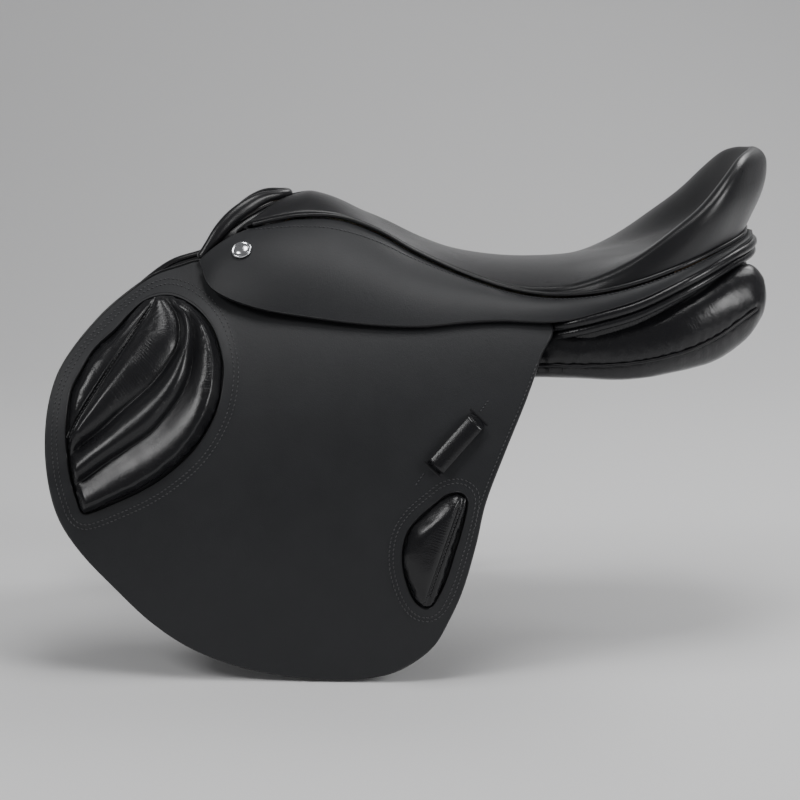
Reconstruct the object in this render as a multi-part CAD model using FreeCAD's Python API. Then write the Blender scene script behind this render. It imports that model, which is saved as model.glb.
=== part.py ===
import FreeCAD, Part
import math
import os

# English jumping saddle. Millimetres. +X is the horse's left (near) side, -Y is
# the pommel, +Y is the cantle, +Z is up. The origin is on the centre plane, under
# the deepest part of the seat, at the level where the panels bear on the back.

V = FreeCAD.Vector

# ---------------------------------------------------------------- driving sizes
SHOULDER_Z = 60.0        # height where the flap starts to turn in under the seat
SHOULDER_X = 78.0        # half width of the flaps at that height, at SHOULDER_Y
SHOULDER_Y = -160.0
SHOULDER_RISE = 0.08     # how much wider the shoulder gets towards the back
SIDE_X = 174.0           # half width that the hanging flaps tend to
DROP = 85.0              # height over which the flaps turn down
TURN_IN = 60.0           # height over which they turn in above the shoulder

FLAP_T = 4.5             # flap leather with its lining
SKIRT_T = 3.6            # skirt leather
SWEAT_T = 3.5            # sweat flap leather
STRAP_T = 4.0            # girth strap leather, two plies
STRAP_W = 25.0
COVER_T = 2.4            # seat leather
FOAM_T = 9.0             # seat foam
WEB_T = 1.6              # canvas webbing
WEB_GAP = 1.2            # clearance for the straps' swing
WEB_TALL = 6.4
EDGE_GAP = 1.2           # the seat leather stops this far inside the seat's edge
FOAM_INSET = 12.0        # and the foam this far
WEB_INSET = 16.0
SKIN_GAP = 0.5           # clearance between two soft layers
HINGE_GAP = 0.8          # gap left where a sheet is cut at its bend line
STEEPEST = 1.9           # limit on how much a slope stretches an offset

STRAP_TOP_Z = 52.0
STRAP_BOTTOM_Z = -172.0
STRAP_Y = {"front": -118.0, "middle": -86.0, "rear": -54.0}
STRAP_HOLE_R = 2.5
STRAP_HOLES = 4
STRAP_HOLE_PITCH = 25.0

HEAD_T = 12.0            # thickness of the beech head across its curve
HEAD_W = 26.0            # width of the head, front to back
HEAD_TILT = 35.0         # degrees that the head leans forward going down
HEAD_TOP = (0.0, -163.0, 106.0)
PLATE_T = 2.0            # steel head and gullet plates
RIVET_R = 2.5
RIVET_HEAD_R = 4.5
RIVET_STAND = 0.4        # a flat rivet head stands this far off the curved plate
RAIL_W = 22.0
RAIL_T = 9.0
SPRING_W = 14.0
SPRING_T = 2.0
CANTLE_T = 10.0
CANTLE_W = 46.0
SEAT_NOTCH_Y = -160.0    # how far back the pommel's notch cuts the seat on the centre line

BAR_Y = (-164.0, -106.0)  # stirrup bar, front and rear end of the blade
BAR_Z = (61.0, 73.0)
BAR_PLATE_T = 3.0
BAR_SLOT = 8.0
BAR_BLADE_T = 4.0
PIN_R = 1.5
RUNNING_FIT = 0.05
CATCH_LENGTH = 10.0
CATCH_H = 8.0

NAIL_AT = (-206.0, 92.0)  # (y, z) of the saddle nail
NAIL_HEAD_R = 8.2
NAIL_SHANK_R = 1.6
NAIL_HOLE_GAP = 0.2
DEE_WIRE_R = 1.6
DEE_R = 12.0             # centre line radius of the round side
DEE_AT = (-219.0, 66.0)  # (y, z) of its straight side
STAPLE_WALL = 0.9
STAPLE_LENGTH = 10.0

BLOCK_H = 9.0            # how far the blocks stand out of the flap
KEEPER_LENGTH = 54.0
KEEPER_W = 16.0
KEEPER_T = 3.0
KEEPER_ROOM = 6.6        # clear height under the keeper
KEEPER_AT = (-35.0, -47.0)
KEEPER_ANGLE = 48.0
ROLL_H = 6.0             # height of each rear roll
ROLL_T = 6.0
FACING_T = 2.4
FACING_START_Y = 115.0   # where the seat's rim starts to stand up from the welt
FACING_LIFT = 2.4        # the facing ends this far above the welt's line
WELT_H = 3.0
WELT_T = 2.2
LINING_T = 1.6
LINING_W = 40.0

# Depths below the outer face of the flap, layer by layer.
STRAP_TOP = FLAP_T + 2 * SKIN_GAP
SWEAT_TOP = STRAP_TOP + STRAP_T + SKIN_GAP

# Curve of the head: across, and down its slope. Top faces of the rails: (x, y, z).
HEAD_LINE = [(-73, 97), (-69.5, 87), (-62, 70), (-45, 37), (-26, 10), (0, 0),
             (26, 10), (45, 37), (62, 70), (69.5, 87), (73, 97)]
RAIL_LINE = [(44, -167, 76), (44, -150, 76), (44, -112, 76), (45, -80, 71), (50, -45, 65.5),
             (60, -10, 56.5), (70, 25, 52), (79, 60, 52), (84, 95, 56), (84, 122, 63)]
# Centre line of the seat: (y, z), pommel to the foot of the cantle.
SEAT_CENTRE = [(-206, 118), (-185, 130), (-166, 133), (-155, 134), (-130, 125.5), (-99, 107), (-67, 92),
               (-35, 84.4), (0, 80), (30, 79.5), (60, 81), (90, 85), (115, 90), (138, 97),
               (155, 106), (172, 120), (185, 137), (196, 156), (204, 168), (212, 170)]
# Edge of the seat: (y, half width, z). Aft of the waist it is the raised rim.
SEAT_EDGE = [(-206, 45, 112), (-184, 43, 116.5), (-161, 41, 120), (-131, 41, 119), (-100, 43, 108.5),
             (-70, 51, 93), (-40, 63, 80.5), (-15, 76, 72.5), (0, 83, 69), (22, 92, 66), (45, 98, 67),
             (66, 103, 70.5), (90, 107, 78.5), (115, 107, 91), (138, 101, 105.5), (155, 94, 119),
             (172, 81, 137), (185, 62, 151), (196, 38, 161), (204, 17, 167.5), (209, 1, 169)]
# Welt where the seat meets the skirt: (x, y, z).
WELT = [(45, -200, 111.5), (42, -184, 115), (40, -161, 118.5), (40, -131, 117.7), (42, -100, 107.4),
        (50, -70, 92), (62, -40, 79.6), (75, -15, 71.5), (82, 0, 67.5), (92, 22, 64), (100, 45, 63.2),
        (108, 75, 66.7), (110, 106, 74.7), (103, 138, 86), (86, 161, 94.5), (64, 179, 100.5),
        (38, 192, 105), (1.5, 198, 107)]
# Lower edge of the skirt, at the same stations: (x, y, z), or (y, z) where it lies over
# the flap, and how far its outer face stands off the flap there.
SKIRT_EDGE = [(-241, 83), (-229, 64), (-196, 51.5), (-152, 44.5), (-104, 39.6), (-62, 38.6), (-27, 42),
              (2, 43.5), (16, 43), (116, 36, 43), (118, 60, 46.5), (119, 84, 53.5), (118, 108, 61.5),
              (109, 140, 75.5), (92, 165, 86.5), (66, 186, 96), (38, 199, 101), (1.5, 205, 103)]
SKIRT_STAND = [10, 10.5, 9.5, 7.5, 6.2, 5.4, 5.2, 5.2, 5.2]
SKIRT_BULGE = 0.11       # how far the skirt bulges out, as a share of its depth
# Upper edge of the two rear rolls and the facing between them: (x, y, z).
ROLL_LINE = [(116, 54, 41), (119.5, 74, 46.2), (119, 105, 55.6), (111.5, 137, 69.9), (96, 162, 80.9),
             (71, 184, 89.9), (43, 199, 94), (14, 206, 96)]
ROLL_STEP = 11.5         # the lower roll stands this far below the upper one
# Front roll round the pommel, its front and back edges: (x, y, z).
POMMEL_FRONT = [(60, -243, 82), (55, -236, 97), (49, -229, 110), (42, -219, 121), (34, -207, 129.5),
                (25, -195, 134.5), (12, -182, 136.5), (0, -176, 137)]
POMMEL_BACK = [(54, -236, 84), (52, -228, 93), (48, -220, 104), (42, -212, 111.5), (34, -201, 119),
               (23, -189, 125.5), (12, -176, 130), (0, -170, 131)]
POMMEL_T = 6.0
# Outlines seen from the side: (y, z).
FLAP_OUTLINE = [(-242, 81), (-257, 77), (-279, 69.5), (-303, 53), (-319, 38), (-337, 15), (-347, -5),
                (-352, -35), (-350, -72), (-341, -105), (-324, -131), (-297, -159), (-268, -186),
                (-237, -206), (-199, -220), (-161, -227), (-129, -229), (-99, -227), (-76, -220),
                (-53, -203), (-41, -183), (-30, -158), (-20, -123), (-13, -92), (1, -55), (18, -14),
                (30, 18)]
FLAP_TOP = [(38, 38), (20, 43), (0, 46), (-60, 50), (-110, 56), (-180, 58), (-208, 62), (-224, 78)]
BEND_FRONT = (-292.0, 60.0)   # the flap bends on this line, under the skirt's edge
BEND_REAR = (33.0, 17.0)
SWEAT_OUTLINE = [(-225, 40), (-262, 44), (-290, 28), (-312, 0), (-325, -32), (-326, -70), (-316, -100),
                 (-296, -130), (-255, -170), (-210, -196), (-150, -208), (-100, -207), (-72, -196),
                 (-52, -165), (-38, -120), (-28, -80), (-14, -40), (2, -8), (4, 22), (-60, 34), (-140, 38)]
KNEE_OUTLINE = [(-274, 53), (-290, 44), (-308, 28), (-326, 0), (-336, -28), (-336, -58), (-330, -82),
                (-321, -103), (-300, -95), (-270, -81), (-243, -61), (-226, -40), (-218, -18),
                (-217, 6), (-226, 30), (-247, 46)]
THIGH_OUTLINE = [(-33, -83), (-27, -87), (-28, -108), (-36, -135), (-46, -162), (-55, -172), (-64, -169),
                 (-72, -155), (-76, -135), (-73, -116), (-62, -101), (-46, -88)]
SKIRT_BEND_FRONT = (-244.0, 88.0)
SKIRT_BEND_REAR = (14.0, 50.0)

# Panel sections: y, then (x, z) round the section from the inner top edge.
PANEL = {
    -226: [(32, 52), (39, 55), (57, 26), (96, -30), (118, -75), (112, -82), (84, -40), (52, 14)],
    -190: [(28, 52), (37, 56), (61, 26), (104, -30), (130, -88), (122, -96), (90, -45), (50, 14)],
    -145: [(28, 56), (42, 60), (72, 28), (110, -30), (134, -84), (122, -92), (92, -42), (48, 14)],
    -95: [(28, 50), (46, 56), (80, 26), (112, -14), (126, -46), (114, -54), (84, -18), (42, 14)],
    -45: [(30, 42), (54, 48), (84, 28), (106, 4), (112, -16), (100, -19), (70, -5), (38, 14)],
    10: [(31, 32), (66, 38), (93, 32), (110, 12), (111, -2), (98, -8), (66, -2), (36, 10)],
    55: [(32, 31), (72, 37), (94, 29), (117, 12), (113, -2), (94, -5), (60, 0), (37, 12)],
    100: [(31, 37), (74, 42), (97, 37), (120, 16), (114, -1), (92, -4), (60, 2), (36, 16)],
    140: [(30, 46), (66, 56), (96, 50), (116, 25), (105, 6), (84, 2), (56, 9), (35, 22)],
    170: [(29, 54), (54, 67), (80, 64), (99, 39), (93, 15), (74, 9), (52, 17), (34, 32)],
    192: [(28, 62), (44, 74), (64, 72), (84, 49), (80, 28), (66, 22), (46, 30), (32, 42)],
    206: [(34, 62), (44, 71), (56, 70), (69, 57), (66, 44), (56, 40), (44, 44), (36, 52)],
}
PANEL_STATIONS = 28
PANEL_POINTS = 32
CHANNEL = [(-150, 46), (-95, 40), (-45, 33), (10, 26), (55, 25), (100, 31), (140, 40), (185, 54)]


# ------------------------------------------------------------- small geometry
def smooth(table, t, column=1):
    """Value of a column at t, on a curve with finite-difference tangents."""
    if t <= table[0][0]:
        return float(table[0][column])
    if t >= table[-1][0]:
        return float(table[-1][column])
    i = max(k for k in range(len(table) - 1) if table[k][0] <= t)

    def slope(k):
        lo, hi = max(k - 1, 0), min(k + 1, len(table) - 1)
        return (table[hi][column] - table[lo][column]) / float(table[hi][0] - table[lo][0])

    width = float(table[i + 1][0] - table[i][0])
    s = (t - table[i][0]) / width
    h00, h10 = 2 * s**3 - 3 * s**2 + 1, s**3 - 2 * s**2 + s
    h01, h11 = 3 * s**2 - 2 * s**3, s**3 - s**2
    return (h00 * table[i][column] + h10 * width * slope(i)
            + h01 * table[i + 1][column] + h11 * width * slope(i + 1))


def skin(y, z):
    """x of the outer face of the near flap."""
    top = SHOULDER_X + SHOULDER_RISE * (y - SHOULDER_Y)
    reach = SIDE_X - top
    if z <= SHOULDER_Z:
        return top + reach * (1 - math.exp((z - SHOULDER_Z) / DROP))
    up = min(z - SHOULDER_Z, TURN_IN)
    return top - reach / DROP * up * (1 - up / (2 * TURN_IN))


def seat_top(x, y):
    """z of the seat's leather: a dish with a rim behind, a rounded twist in front."""
    centre = smooth(SEAT_CENTRE, y)
    edge = smooth(SEAT_EDGE, y, 2)
    across = abs(x) / max(smooth(SEAT_EDGE, y), 6.0)
    if edge > centre:
        share = math.sin(math.pi / 2 * min(across, 1.0) ** 1.4) ** 2
    else:
        share = min(across, 1.3) ** 2.2
    return centre + (edge - centre) * share


def below(surface, a, b, depth, step=1.0):
    """Value of a height surface moved back along its normal by a depth."""
    da = (surface(a + step, b) - surface(a - step, b)) / (2 * step)
    db = (surface(a, b + step) - surface(a, b - step)) / (2 * step)
    return surface(a, b) - depth * min(math.sqrt(1 + da * da + db * db), STEEPEST)


def spline(points, closed=False):
    curve = Part.BSplineCurve()
    curve.interpolate(Points=points, PeriodicFlag=closed)
    return curve.toShape()


def face_of(points, closed_curve=True):
    """Flat face inside a smooth, or a straight-sided, closed outline."""
    if closed_curve:
        return Part.Face(Part.Wire([spline(points, True)]))
    return Part.Face(Part.makePolygon(points + points[:1]))


def sheet_surface(place, spans, depth, count=26):
    """Smooth surface through place(a, b, depth) on a grid over the two spans."""
    (a0, a1), (b0, b1) = spans
    grid = [[place(a0 + (a1 - a0) * i / (count - 1), b0 + (b1 - b0) * j / (count - 1), depth)
             for j in range(count)] for i in range(count)]
    surface = Part.BSplineSurface()
    surface.interpolate(grid)
    return surface


def closed_solid(sheets):
    """Solid between two surfaces with matching edges, closed by ruled sides."""
    faces = [sheet.toShape() for sheet in sheets]
    u0, u1, v0, v1 = sheets[0].bounds()
    for cross in (("uIso", u0), ("uIso", u1), ("vIso", v0), ("vIso", v1)):
        edges = [getattr(sheet, cross[0])(cross[1]).toShape() for sheet in sheets]
        faces.append(Part.makeRuledSurface(edges[0], edges[1]))
    solid = Part.Solid(Part.makeShell(faces))
    if solid.Volume < 0:
        solid.reverse()
    return solid


def between(place, spans, outer, inner):
    """Solid between two depths of a height surface, over the two spans."""
    return closed_solid([sheet_surface(place, spans, depth) for depth in (outer, inner)])


def side_place(y, z, depth):
    return V(below(skin, y, z, depth), y, z)


def seat_place(x, y, depth):
    return V(x, y, below(seat_top, x, y, depth))


def spans_of(outline, margin=4.0):
    return [(min(p[k] for p in outline) - margin, max(p[k] for p in outline) + margin) for k in (0, 1)]


def side_slab(outline, outer, inner, curved=True):
    """Layer of the near side inside a (y, z) outline, between two depths."""
    prism = face_of([V(-60, y, z) for y, z in outline], curved).extrude(V(320, 0, 0))
    return between(side_place, spans_of(outline), outer, inner).common(prism)


def seat_slab(outline, outer, inner, curved=True):
    """Layer of the seat inside an (x, y) outline, between two depths."""
    prism = face_of([V(x, y, -60) for x, y in outline], curved).extrude(V(0, 0, 320))
    return between(seat_place, spans_of(outline), outer, inner).common(prism)


def strip(top_rail, low_rail, thickness, bulge=0.0):
    """Long sheet between two rails; it bulges outwards by a share of its depth."""
    rows = ([], [])
    last = len(top_rail) - 1
    for i in range(last + 1):
        top, low = V(*top_rail[i]), V(*low_rail[i])
        along = V(*top_rail[min(i + 1, last)]) - V(*top_rail[max(i - 1, 0)])
        along += V(*low_rail[min(i + 1, last)]) - V(*low_rail[max(i - 1, 0)])
        out = (low - top).cross(along).normalize()
        arc = out * (4 * bulge * (low - top).Length)
        points = [top + (low - top) * v + arc * v * (1 - v) for v in (0.0, 0.25, 0.5, 0.75, 1.0)]
        rows[0].append(points)
        rows[1].append([point - out * thickness for point in points])
    sheets = []
    for grid in rows:
        surface = Part.BSplineSurface()
        surface.interpolate(grid)
        sheets.append(surface)
    return closed_solid(sheets)


def moved_out(rail, out, up):
    """The rail moved level away from the seat, and up."""
    moved = []
    for i, (x, y, z) in enumerate(rail):
        ahead, back = rail[min(i + 1, len(rail) - 1)], rail[max(i - 1, 0)]
        normal = V(ahead[1] - back[1], back[0] - ahead[0], 0)
        normal.normalize()
        moved.append((x + normal.x * out, y + normal.y * out, z + up))
    return moved


def both_sides(rail):
    """Rail that goes on round the centre plane to the off side."""
    across = [(-x, y, z) for x, y, z in reversed(rail) if x > 0]
    return list(rail) + across


def mirrored(shape):
    return shape.mirror(V(0, 0, 0), V(1, 0, 0))


def cylinder(start, end, radius):
    axis = end - start
    return Part.makeCylinder(radius, axis.Length, start, axis)


def half_space(point, along, away, size=700.0):
    """Big box on the side that `away` points to, of a plane that holds `along`."""
    along = V(along).normalize()
    away = (away - along * away.dot(along)).normalize()
    third = along.cross(away)
    corners = [point + along * a * size + third * b * size for a, b in ((-1, -1), (1, -1), (1, 1), (-1, 1))]
    return Part.Face(Part.makePolygon(corners + corners[:1])).extrude(away * size)


def face_at(shape, y, z):
    """Outermost point of a shape on the line along X at (y, z)."""
    cut_line = Part.makeLine(V(0, y, z), V(400, y, z)).common(shape)
    return max((vertex.Point for vertex in cut_line.Vertexes), key=lambda point: point.x)


# --------------------------------------------------------------------- tree
def head_frame(x, down, across):
    """Point in the leaning plane of the head: down its slope, and across it."""
    lean = math.radians(HEAD_TILT)
    x0, y0, z0 = HEAD_TOP
    return V(x0 + x, y0 - down * math.sin(lean) + across * math.cos(lean),
             z0 - down * math.cos(lean) - across * math.sin(lean))


def head_ring(low, high, width, reach=None):
    """Arch between two offsets from the head's curve, as wide as asked."""
    line = HEAD_LINE if reach is None else HEAD_LINE[reach:-reach]
    outer, inner = [], []
    for i, (x, down) in enumerate(line):
        ahead, back = line[min(i + 1, len(line) - 1)], line[max(i - 1, 0)]
        tangent = V(ahead[0] - back[0], ahead[1] - back[1], 0)
        tangent.normalize()
        normal = (tangent.y, -tangent.x)
        outer.append(head_frame(x + normal[0] * high, down + normal[1] * high, -width / 2))
        inner.append(head_frame(x + normal[0] * low, down + normal[1] * low, -width / 2))
    wire = Part.Wire([spline(outer), Part.makeLine(outer[-1], inner[-1]),
                      spline(inner[::-1]), Part.makeLine(inner[0], outer[0])])
    depth = head_frame(0, 0, width / 2) - head_frame(0, 0, -width / 2)
    return Part.Face(wire).extrude(depth)


def head_rivet_axes():
    """Where the plates are riveted to the head: start and outward direction."""
    axes = []
    for side in (-1, 1):
        for k in (3, 4):
            x, down = HEAD_LINE[k]
            ahead, back = HEAD_LINE[k + 1], HEAD_LINE[k - 1]
            tangent = V(ahead[0] - back[0], ahead[1] - back[1], 0)
            tangent.normalize()
            normal = V(tangent.y * -side, -tangent.x, 0)
            axes.append((V(-side * x, down, 0), normal))
    return axes


def rivet(base, out, length, head_h=2.0):
    """Rivet whose shank runs back from base, with a flat head beyond it."""
    shank = cylinder(base - out * length, base, RIVET_R)
    return shank.fuse(cylinder(base, base + out * head_h, RIVET_HEAD_R))


def build_head():
    half = HEAD_T / 2
    head = head_ring(-half, half, HEAD_W)
    top_plate = head_ring(0, half + PLATE_T, HEAD_W * 0.8, 2).cut(head)
    gullet = head_ring(-half - PLATE_T, 0, HEAD_W * 0.8, 1).cut(head)
    rivets, tools = [], []
    for at, normal in head_rivet_axes():
        centre = head_frame(at.x, at.y, 0)
        out = head_frame(at.x + normal.x, at.y + normal.y, 0) - centre
        base = centre + out * (half + PLATE_T + RIVET_STAND)
        rivets.append(rivet(base, out, HEAD_T + 2 * PLATE_T))
        tools.append(cylinder(base - out * 30, base, RIVET_R))
    cut = [shape.cut(tools) for shape in (head, top_plate, gullet)]
    return {"tree_head": cut[0], "head_plate": cut[1], "gullet_plate": cut[2],
            "tree_rivets": Part.makeCompound(rivets)}


def bar_loft(line, width, thick, drop=0.0):
    """Flat bar that follows a line of points on its top face, dropped below it."""
    sections = []
    for x, y, z in line:
        low, high = z - drop - thick, z - drop
        corners = [V(x - width / 2, y, low), V(x + width / 2, y, low),
                   V(x + width / 2, y, high), V(x - width / 2, y, high)]
        sections.append(Part.makePolygon(corners + corners[:1]))
    return Part.makeLoft(sections, True, False)


def seat_outline(inset, front=-300, back=300):
    """Plan outline of the seat, drawn in from its edge, with the pommel's notch."""
    rows = [(half - inset, y) for y, half, _ in SEAT_EDGE if front < y < back and half - inset > 1]
    outline = rows + [(-x, y) for x, y in reversed(rows)]
    if front < SEAT_EDGE[0][0]:
        outline += [(-24, SEAT_NOTCH_Y - 22 + inset), (0, SEAT_NOTCH_Y + inset), (24, SEAT_NOTCH_Y - 22 + inset)]
    return outline


def build_cantle():
    """Curved beech cantle, under the foam at the back of the seat."""
    depth = COVER_T + FOAM_T + WEB_T + 3 * SKIN_GAP
    plate = seat_slab(seat_outline(22, front=124, back=193), depth, depth + CANTLE_T, False)
    return plate.cut(Part.makeBox(2 * CANTLE_W, 90, 300, V(-CANTLE_W, 80, -60)))


# ---------------------------------------------------------------------- bars
def bar_face():
    """x of the outer face of the bar's plate, riveted to the side of the rail."""
    return RAIL_LINE[1][0] + RAIL_W / 2 + SKIN_GAP + BAR_PLATE_T


def catch_pivot():
    """Inner end of the catch's pin, at the back of the blade."""
    return V(bar_face() + BAR_SLOT, BAR_Y[1], sum(BAR_Z) / 2)


def bar_rivet_holes():
    """Holes for the rivets, through the bar's plate and into the rail."""
    z = RAIL_LINE[1][2] - RAIL_T / 2
    ends = [V(bar_face(), y, z) for y in (BAR_Y[0] + 18, BAR_Y[1] - 14)]
    return [cylinder(end - V(BAR_PLATE_T + RAIL_W * 0.6, 0, 0), end, RIVET_R) for end in ends]


def build_bar():
    """Stirrup bar with its blade, and the hinged catch on a pin at the blade's end."""
    face = bar_face()
    y0, y1 = BAR_Y
    z0, z1 = BAR_Z
    tall = z1 - z0
    half = BAR_BLADE_T / 2
    blade_x = face + BAR_SLOT
    pivot = catch_pivot()
    plate = Part.makeBox(BAR_PLATE_T, y1 - y0 - 8, tall + 5, V(face - BAR_PLATE_T, y0, z0))
    bend = Part.makeBox(BAR_PLATE_T + BAR_SLOT + BAR_BLADE_T, 8, tall, V(face - BAR_PLATE_T, y0 - 4, z0))
    blade = Part.makeBox(BAR_BLADE_T, y1 - y0 - CATCH_H, tall, V(blade_x, y0, z0))
    ear = Part.makeBox(half - 0.2, CATCH_H + 4, tall, V(blade_x, y1 - CATCH_H, z0))
    hub_room = cylinder(pivot + V(half - 0.2, 0, 0), pivot + V(3 * half, 0, 0), CATCH_H / 2 + 0.6)
    pin = cylinder(pivot, pivot + V(BAR_BLADE_T, 0, 0), PIN_R)
    body = plate.fuse([bend, blade, ear]).cut(hub_room).cut(pin).cut(bar_rivet_holes())
    hub = cylinder(pivot + V(half, 0, 0), pivot + V(BAR_BLADE_T, 0, 0), CATCH_H / 2)
    lever = Part.makeBox(half, CATCH_LENGTH, CATCH_H, pivot + V(half, 0, -CATCH_H / 2))
    bore = cylinder(pivot, pivot + V(BAR_BLADE_T + 1, 0, 0), PIN_R + RUNNING_FIT)
    return {"stirrup_bar": body.removeSplitter(), "bar_catch": hub.fuse(lever).cut(bore), "catch_pin": pin}


def build_bar_rivets():
    """Rivets that hold the bar to the rail, near side."""
    z = RAIL_LINE[1][2] - RAIL_T / 2
    length = BAR_PLATE_T + RAIL_W * 0.6
    return [rivet(V(bar_face(), y, z), V(1, 0, 0), length, 1.2) for y in (BAR_Y[0] + 18, BAR_Y[1] - 14)]


# -------------------------------------------------------------- seat and skirts
def skirt_rails():
    """Upper edge beside the welt, and lower edge, which lies over the flap."""
    low = []
    for i, point in enumerate(SKIRT_EDGE):
        if len(point) == 2:
            y, z = point
            point = (below(skin, y, z, -SKIRT_STAND[i]), y, z)
        low.append(point)
    return moved_out(WELT, 1.5, -WELT_H - 2 * SKIN_GAP), low


def outside(ends, surface_x):
    """The line between two points, moved out until it is outside a surface."""
    steps = [ends[0] + (ends[1] - ends[0]) * k / 12.0 for k in range(13)]
    shift = V(max(surface_x(at.y, at.z) - at.x for at in steps) + 0.2, 0, 0)
    return ends[0] + shift, ends[1] + shift


def sheet_down(front, back):
    """Direction down the side surface, at right angles to a bend line."""
    y, z = (front[0] + back[0]) / 2, (front[1] + back[1]) / 2
    return V(skin(y, z - 3) - skin(y, z + 3), 0, -6)


def whole_skirt():
    top, low = skirt_rails()
    return strip(top, low, SKIRT_T, SKIRT_BULGE)


def build_skirt():
    """Skirt, in its fixed part and the lobe that lifts off the stirrup bar."""
    at, out = nail_axis()
    whole = whole_skirt().cut(cylinder(at - out * 30, at + out * 30, NAIL_SHANK_R + NAIL_HOLE_GAP))
    start, end = skirt_axis()
    down = sheet_down(SKIRT_BEND_FRONT, SKIRT_BEND_REAR)
    gap = V(down).normalize() * HINGE_GAP
    front = Part.makeBox(400, SKIRT_BEND_REAR[0] + 300, 400, V(0, -300, -200))
    lobe = whole.common(half_space(start + gap, end - start, down).common(front))
    front = Part.makeBox(400, SKIRT_BEND_REAR[0] + 300 + HINGE_GAP, 400, V(0, -300, -200))
    rest = whole.cut(half_space(start, end - start, down).common(front))
    return {"skirt": biggest(rest), "skirt_lobe": biggest(lobe)}


def biggest(shape):
    return max(shape.Solids, key=lambda s: s.Volume)


def skirt_axis():
    """Axis of the skirt's lift: along its bend line, just outside its face."""
    whole = whole_skirt()
    ends = [face_at(whole, y + dy, z) for (y, z), dy in ((SKIRT_BEND_FRONT, 14), (SKIRT_BEND_REAR, -4))]
    return outside(ends, lambda y, z: face_at(whole, y, z).x)


def nail_axis():
    """Centre of the saddle nail on the skirt, and its outward direction."""
    whole = whole_skirt()
    y, z = NAIL_AT
    at = face_at(whole, y, z)
    ahead, above = face_at(whole, y + 4, z), face_at(whole, y, z + 4)
    out = (ahead - at).cross(above - at).normalize()
    return at, out * (1 if out.x > 0 else -1)


def build_nail():
    """Domed nail; its head stands just off the leather, its shank runs through."""
    at, out = nail_axis()
    base = at + out * 0.5
    shank = cylinder(at - out * 9, base, NAIL_SHANK_R)
    dome = cylinder(base, base + out * 1.4, NAIL_HEAD_R)
    cap = cylinder(base + out * 1.4, base + out * 2.4, NAIL_HEAD_R * 0.75)
    return shank.fuse([dome, cap])


def build_seat():
    """Seat leather, foam under it and the webbing under that."""
    web = COVER_T + FOAM_T + SKIN_GAP
    return {"seat_cover": seat_slab(seat_outline(EDGE_GAP), 0.0, COVER_T, False),
            "seat_foam": seat_slab(seat_outline(FOAM_INSET, back=194), COVER_T + 2 * SKIN_GAP, COVER_T + FOAM_T, False),
            "seat_web": seat_slab(seat_outline(WEB_INSET, front=-140, back=120), web, web + WEB_T, False)}


def build_facings():
    """Cantle facing, rear facing with its two rolls, and the front roll."""
    rows = [row for row in SEAT_EDGE if row[0] >= FACING_START_Y]
    under = (COVER_T + FACING_T) * STEEPEST + SKIN_GAP
    rim = [(half - EDGE_GAP, y, z - under) for y, half, z in rows[:-1]]
    rim.append((1.0, rows[-1][0], rim[-1][2]))
    welt = [(y, x, z) for x, y, z in WELT]
    shrink = (WELT[-1][1] - FACING_START_Y) / (rows[-1][0] - FACING_START_Y)
    foot = []
    for y, _, _ in rows:
        at = FACING_START_Y + (y - FACING_START_Y) * shrink
        foot.append((smooth(welt, at), at, smooth(welt, at, 2) + FACING_LIFT))
    parts = {"cantle_facing": strip(both_sides(rim), both_sides(foot), FACING_T)}
    for name, drop, tall, inset, thick in (
            ("rear_roll_upper", 0.0, ROLL_H, 0.0, ROLL_T),
            ("rear_roll_lower", ROLL_STEP, ROLL_H, -1.0, ROLL_T),
            ("rear_facing", 1.0, ROLL_STEP + 3, -ROLL_T - 2.0, FACING_T)):
        rail = both_sides(moved_out(ROLL_LINE, inset, -drop))
        low = [(x, y, z - tall) for x, y, z in rail]
        parts[name] = strip(rail, low, thick)
    parts["pommel_roll"] = strip(both_sides(POMMEL_FRONT), both_sides(POMMEL_BACK), POMMEL_T)
    return parts


def build_welt():
    top = moved_out(WELT, 2.6, 0.4)
    return strip(top, [(x, y, z - WELT_H) for x, y, z in moved_out(WELT, 3.2, 0.4)], WELT_T)


# ------------------------------------------------------------------ flap pieces
def flap_axis():
    """Axis of the flap's lift: along its bend line, just outside its face."""
    ends = [V(skin(y, z), y, z) for y, z in (BEND_FRONT, BEND_REAR)]
    return outside(ends, skin)


def build_flap():
    """The flap's sheet, cut on its bend line into a fixed head and a moving flap."""
    sheet = side_slab(FLAP_OUTLINE + FLAP_TOP, 0.0, FLAP_T)
    start, end = flap_axis()
    down = sheet_down(BEND_FRONT, BEND_REAR)
    gap = V(down).normalize() * HINGE_GAP
    lower = sheet.common(half_space(start + gap, end - start, down))
    upper = sheet.cut(half_space(start, end - start, down))
    return {"flap_head": biggest(upper), "flap": biggest(lower)}


def dome_place(outline, height):
    """Height surface that rises over the middle of an outline on the flap."""
    cy = sum(p[0] for p in outline) / len(outline)
    cz = sum(p[1] for p in outline) / len(outline)
    ry = max(abs(p[0] - cy) for p in outline)
    rz = max(abs(p[1] - cz) for p in outline)

    def place(y, z, depth):
        if depth > -1:
            return side_place(y, z, depth)
        r2 = min(((y - cy) / ry) ** 2 + ((z - cz) / rz) ** 2, 1.0)
        return side_place(y, z, -height * (0.45 + 0.55 * (1 - r2)))

    return place


def build_block(outline, height):
    """Padded block that stands on the outer face of the flap."""
    prism = face_of([V(-60, y, z) for y, z in outline]).extrude(V(400, 0, 0))
    return between(dome_place(outline, height), spans_of(outline), -height, -0.05).common(prism)


def turned(points, centre, degrees):
    a = math.radians(degrees)
    return [(centre[0] + y * math.cos(a) - z * math.sin(a), centre[1] + y * math.sin(a) + z * math.cos(a))
            for y, z in points]


def rectangle(length, width):
    return [(-length / 2, -width / 2), (length / 2, -width / 2), (length / 2, width / 2), (-length / 2, width / 2)]


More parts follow.
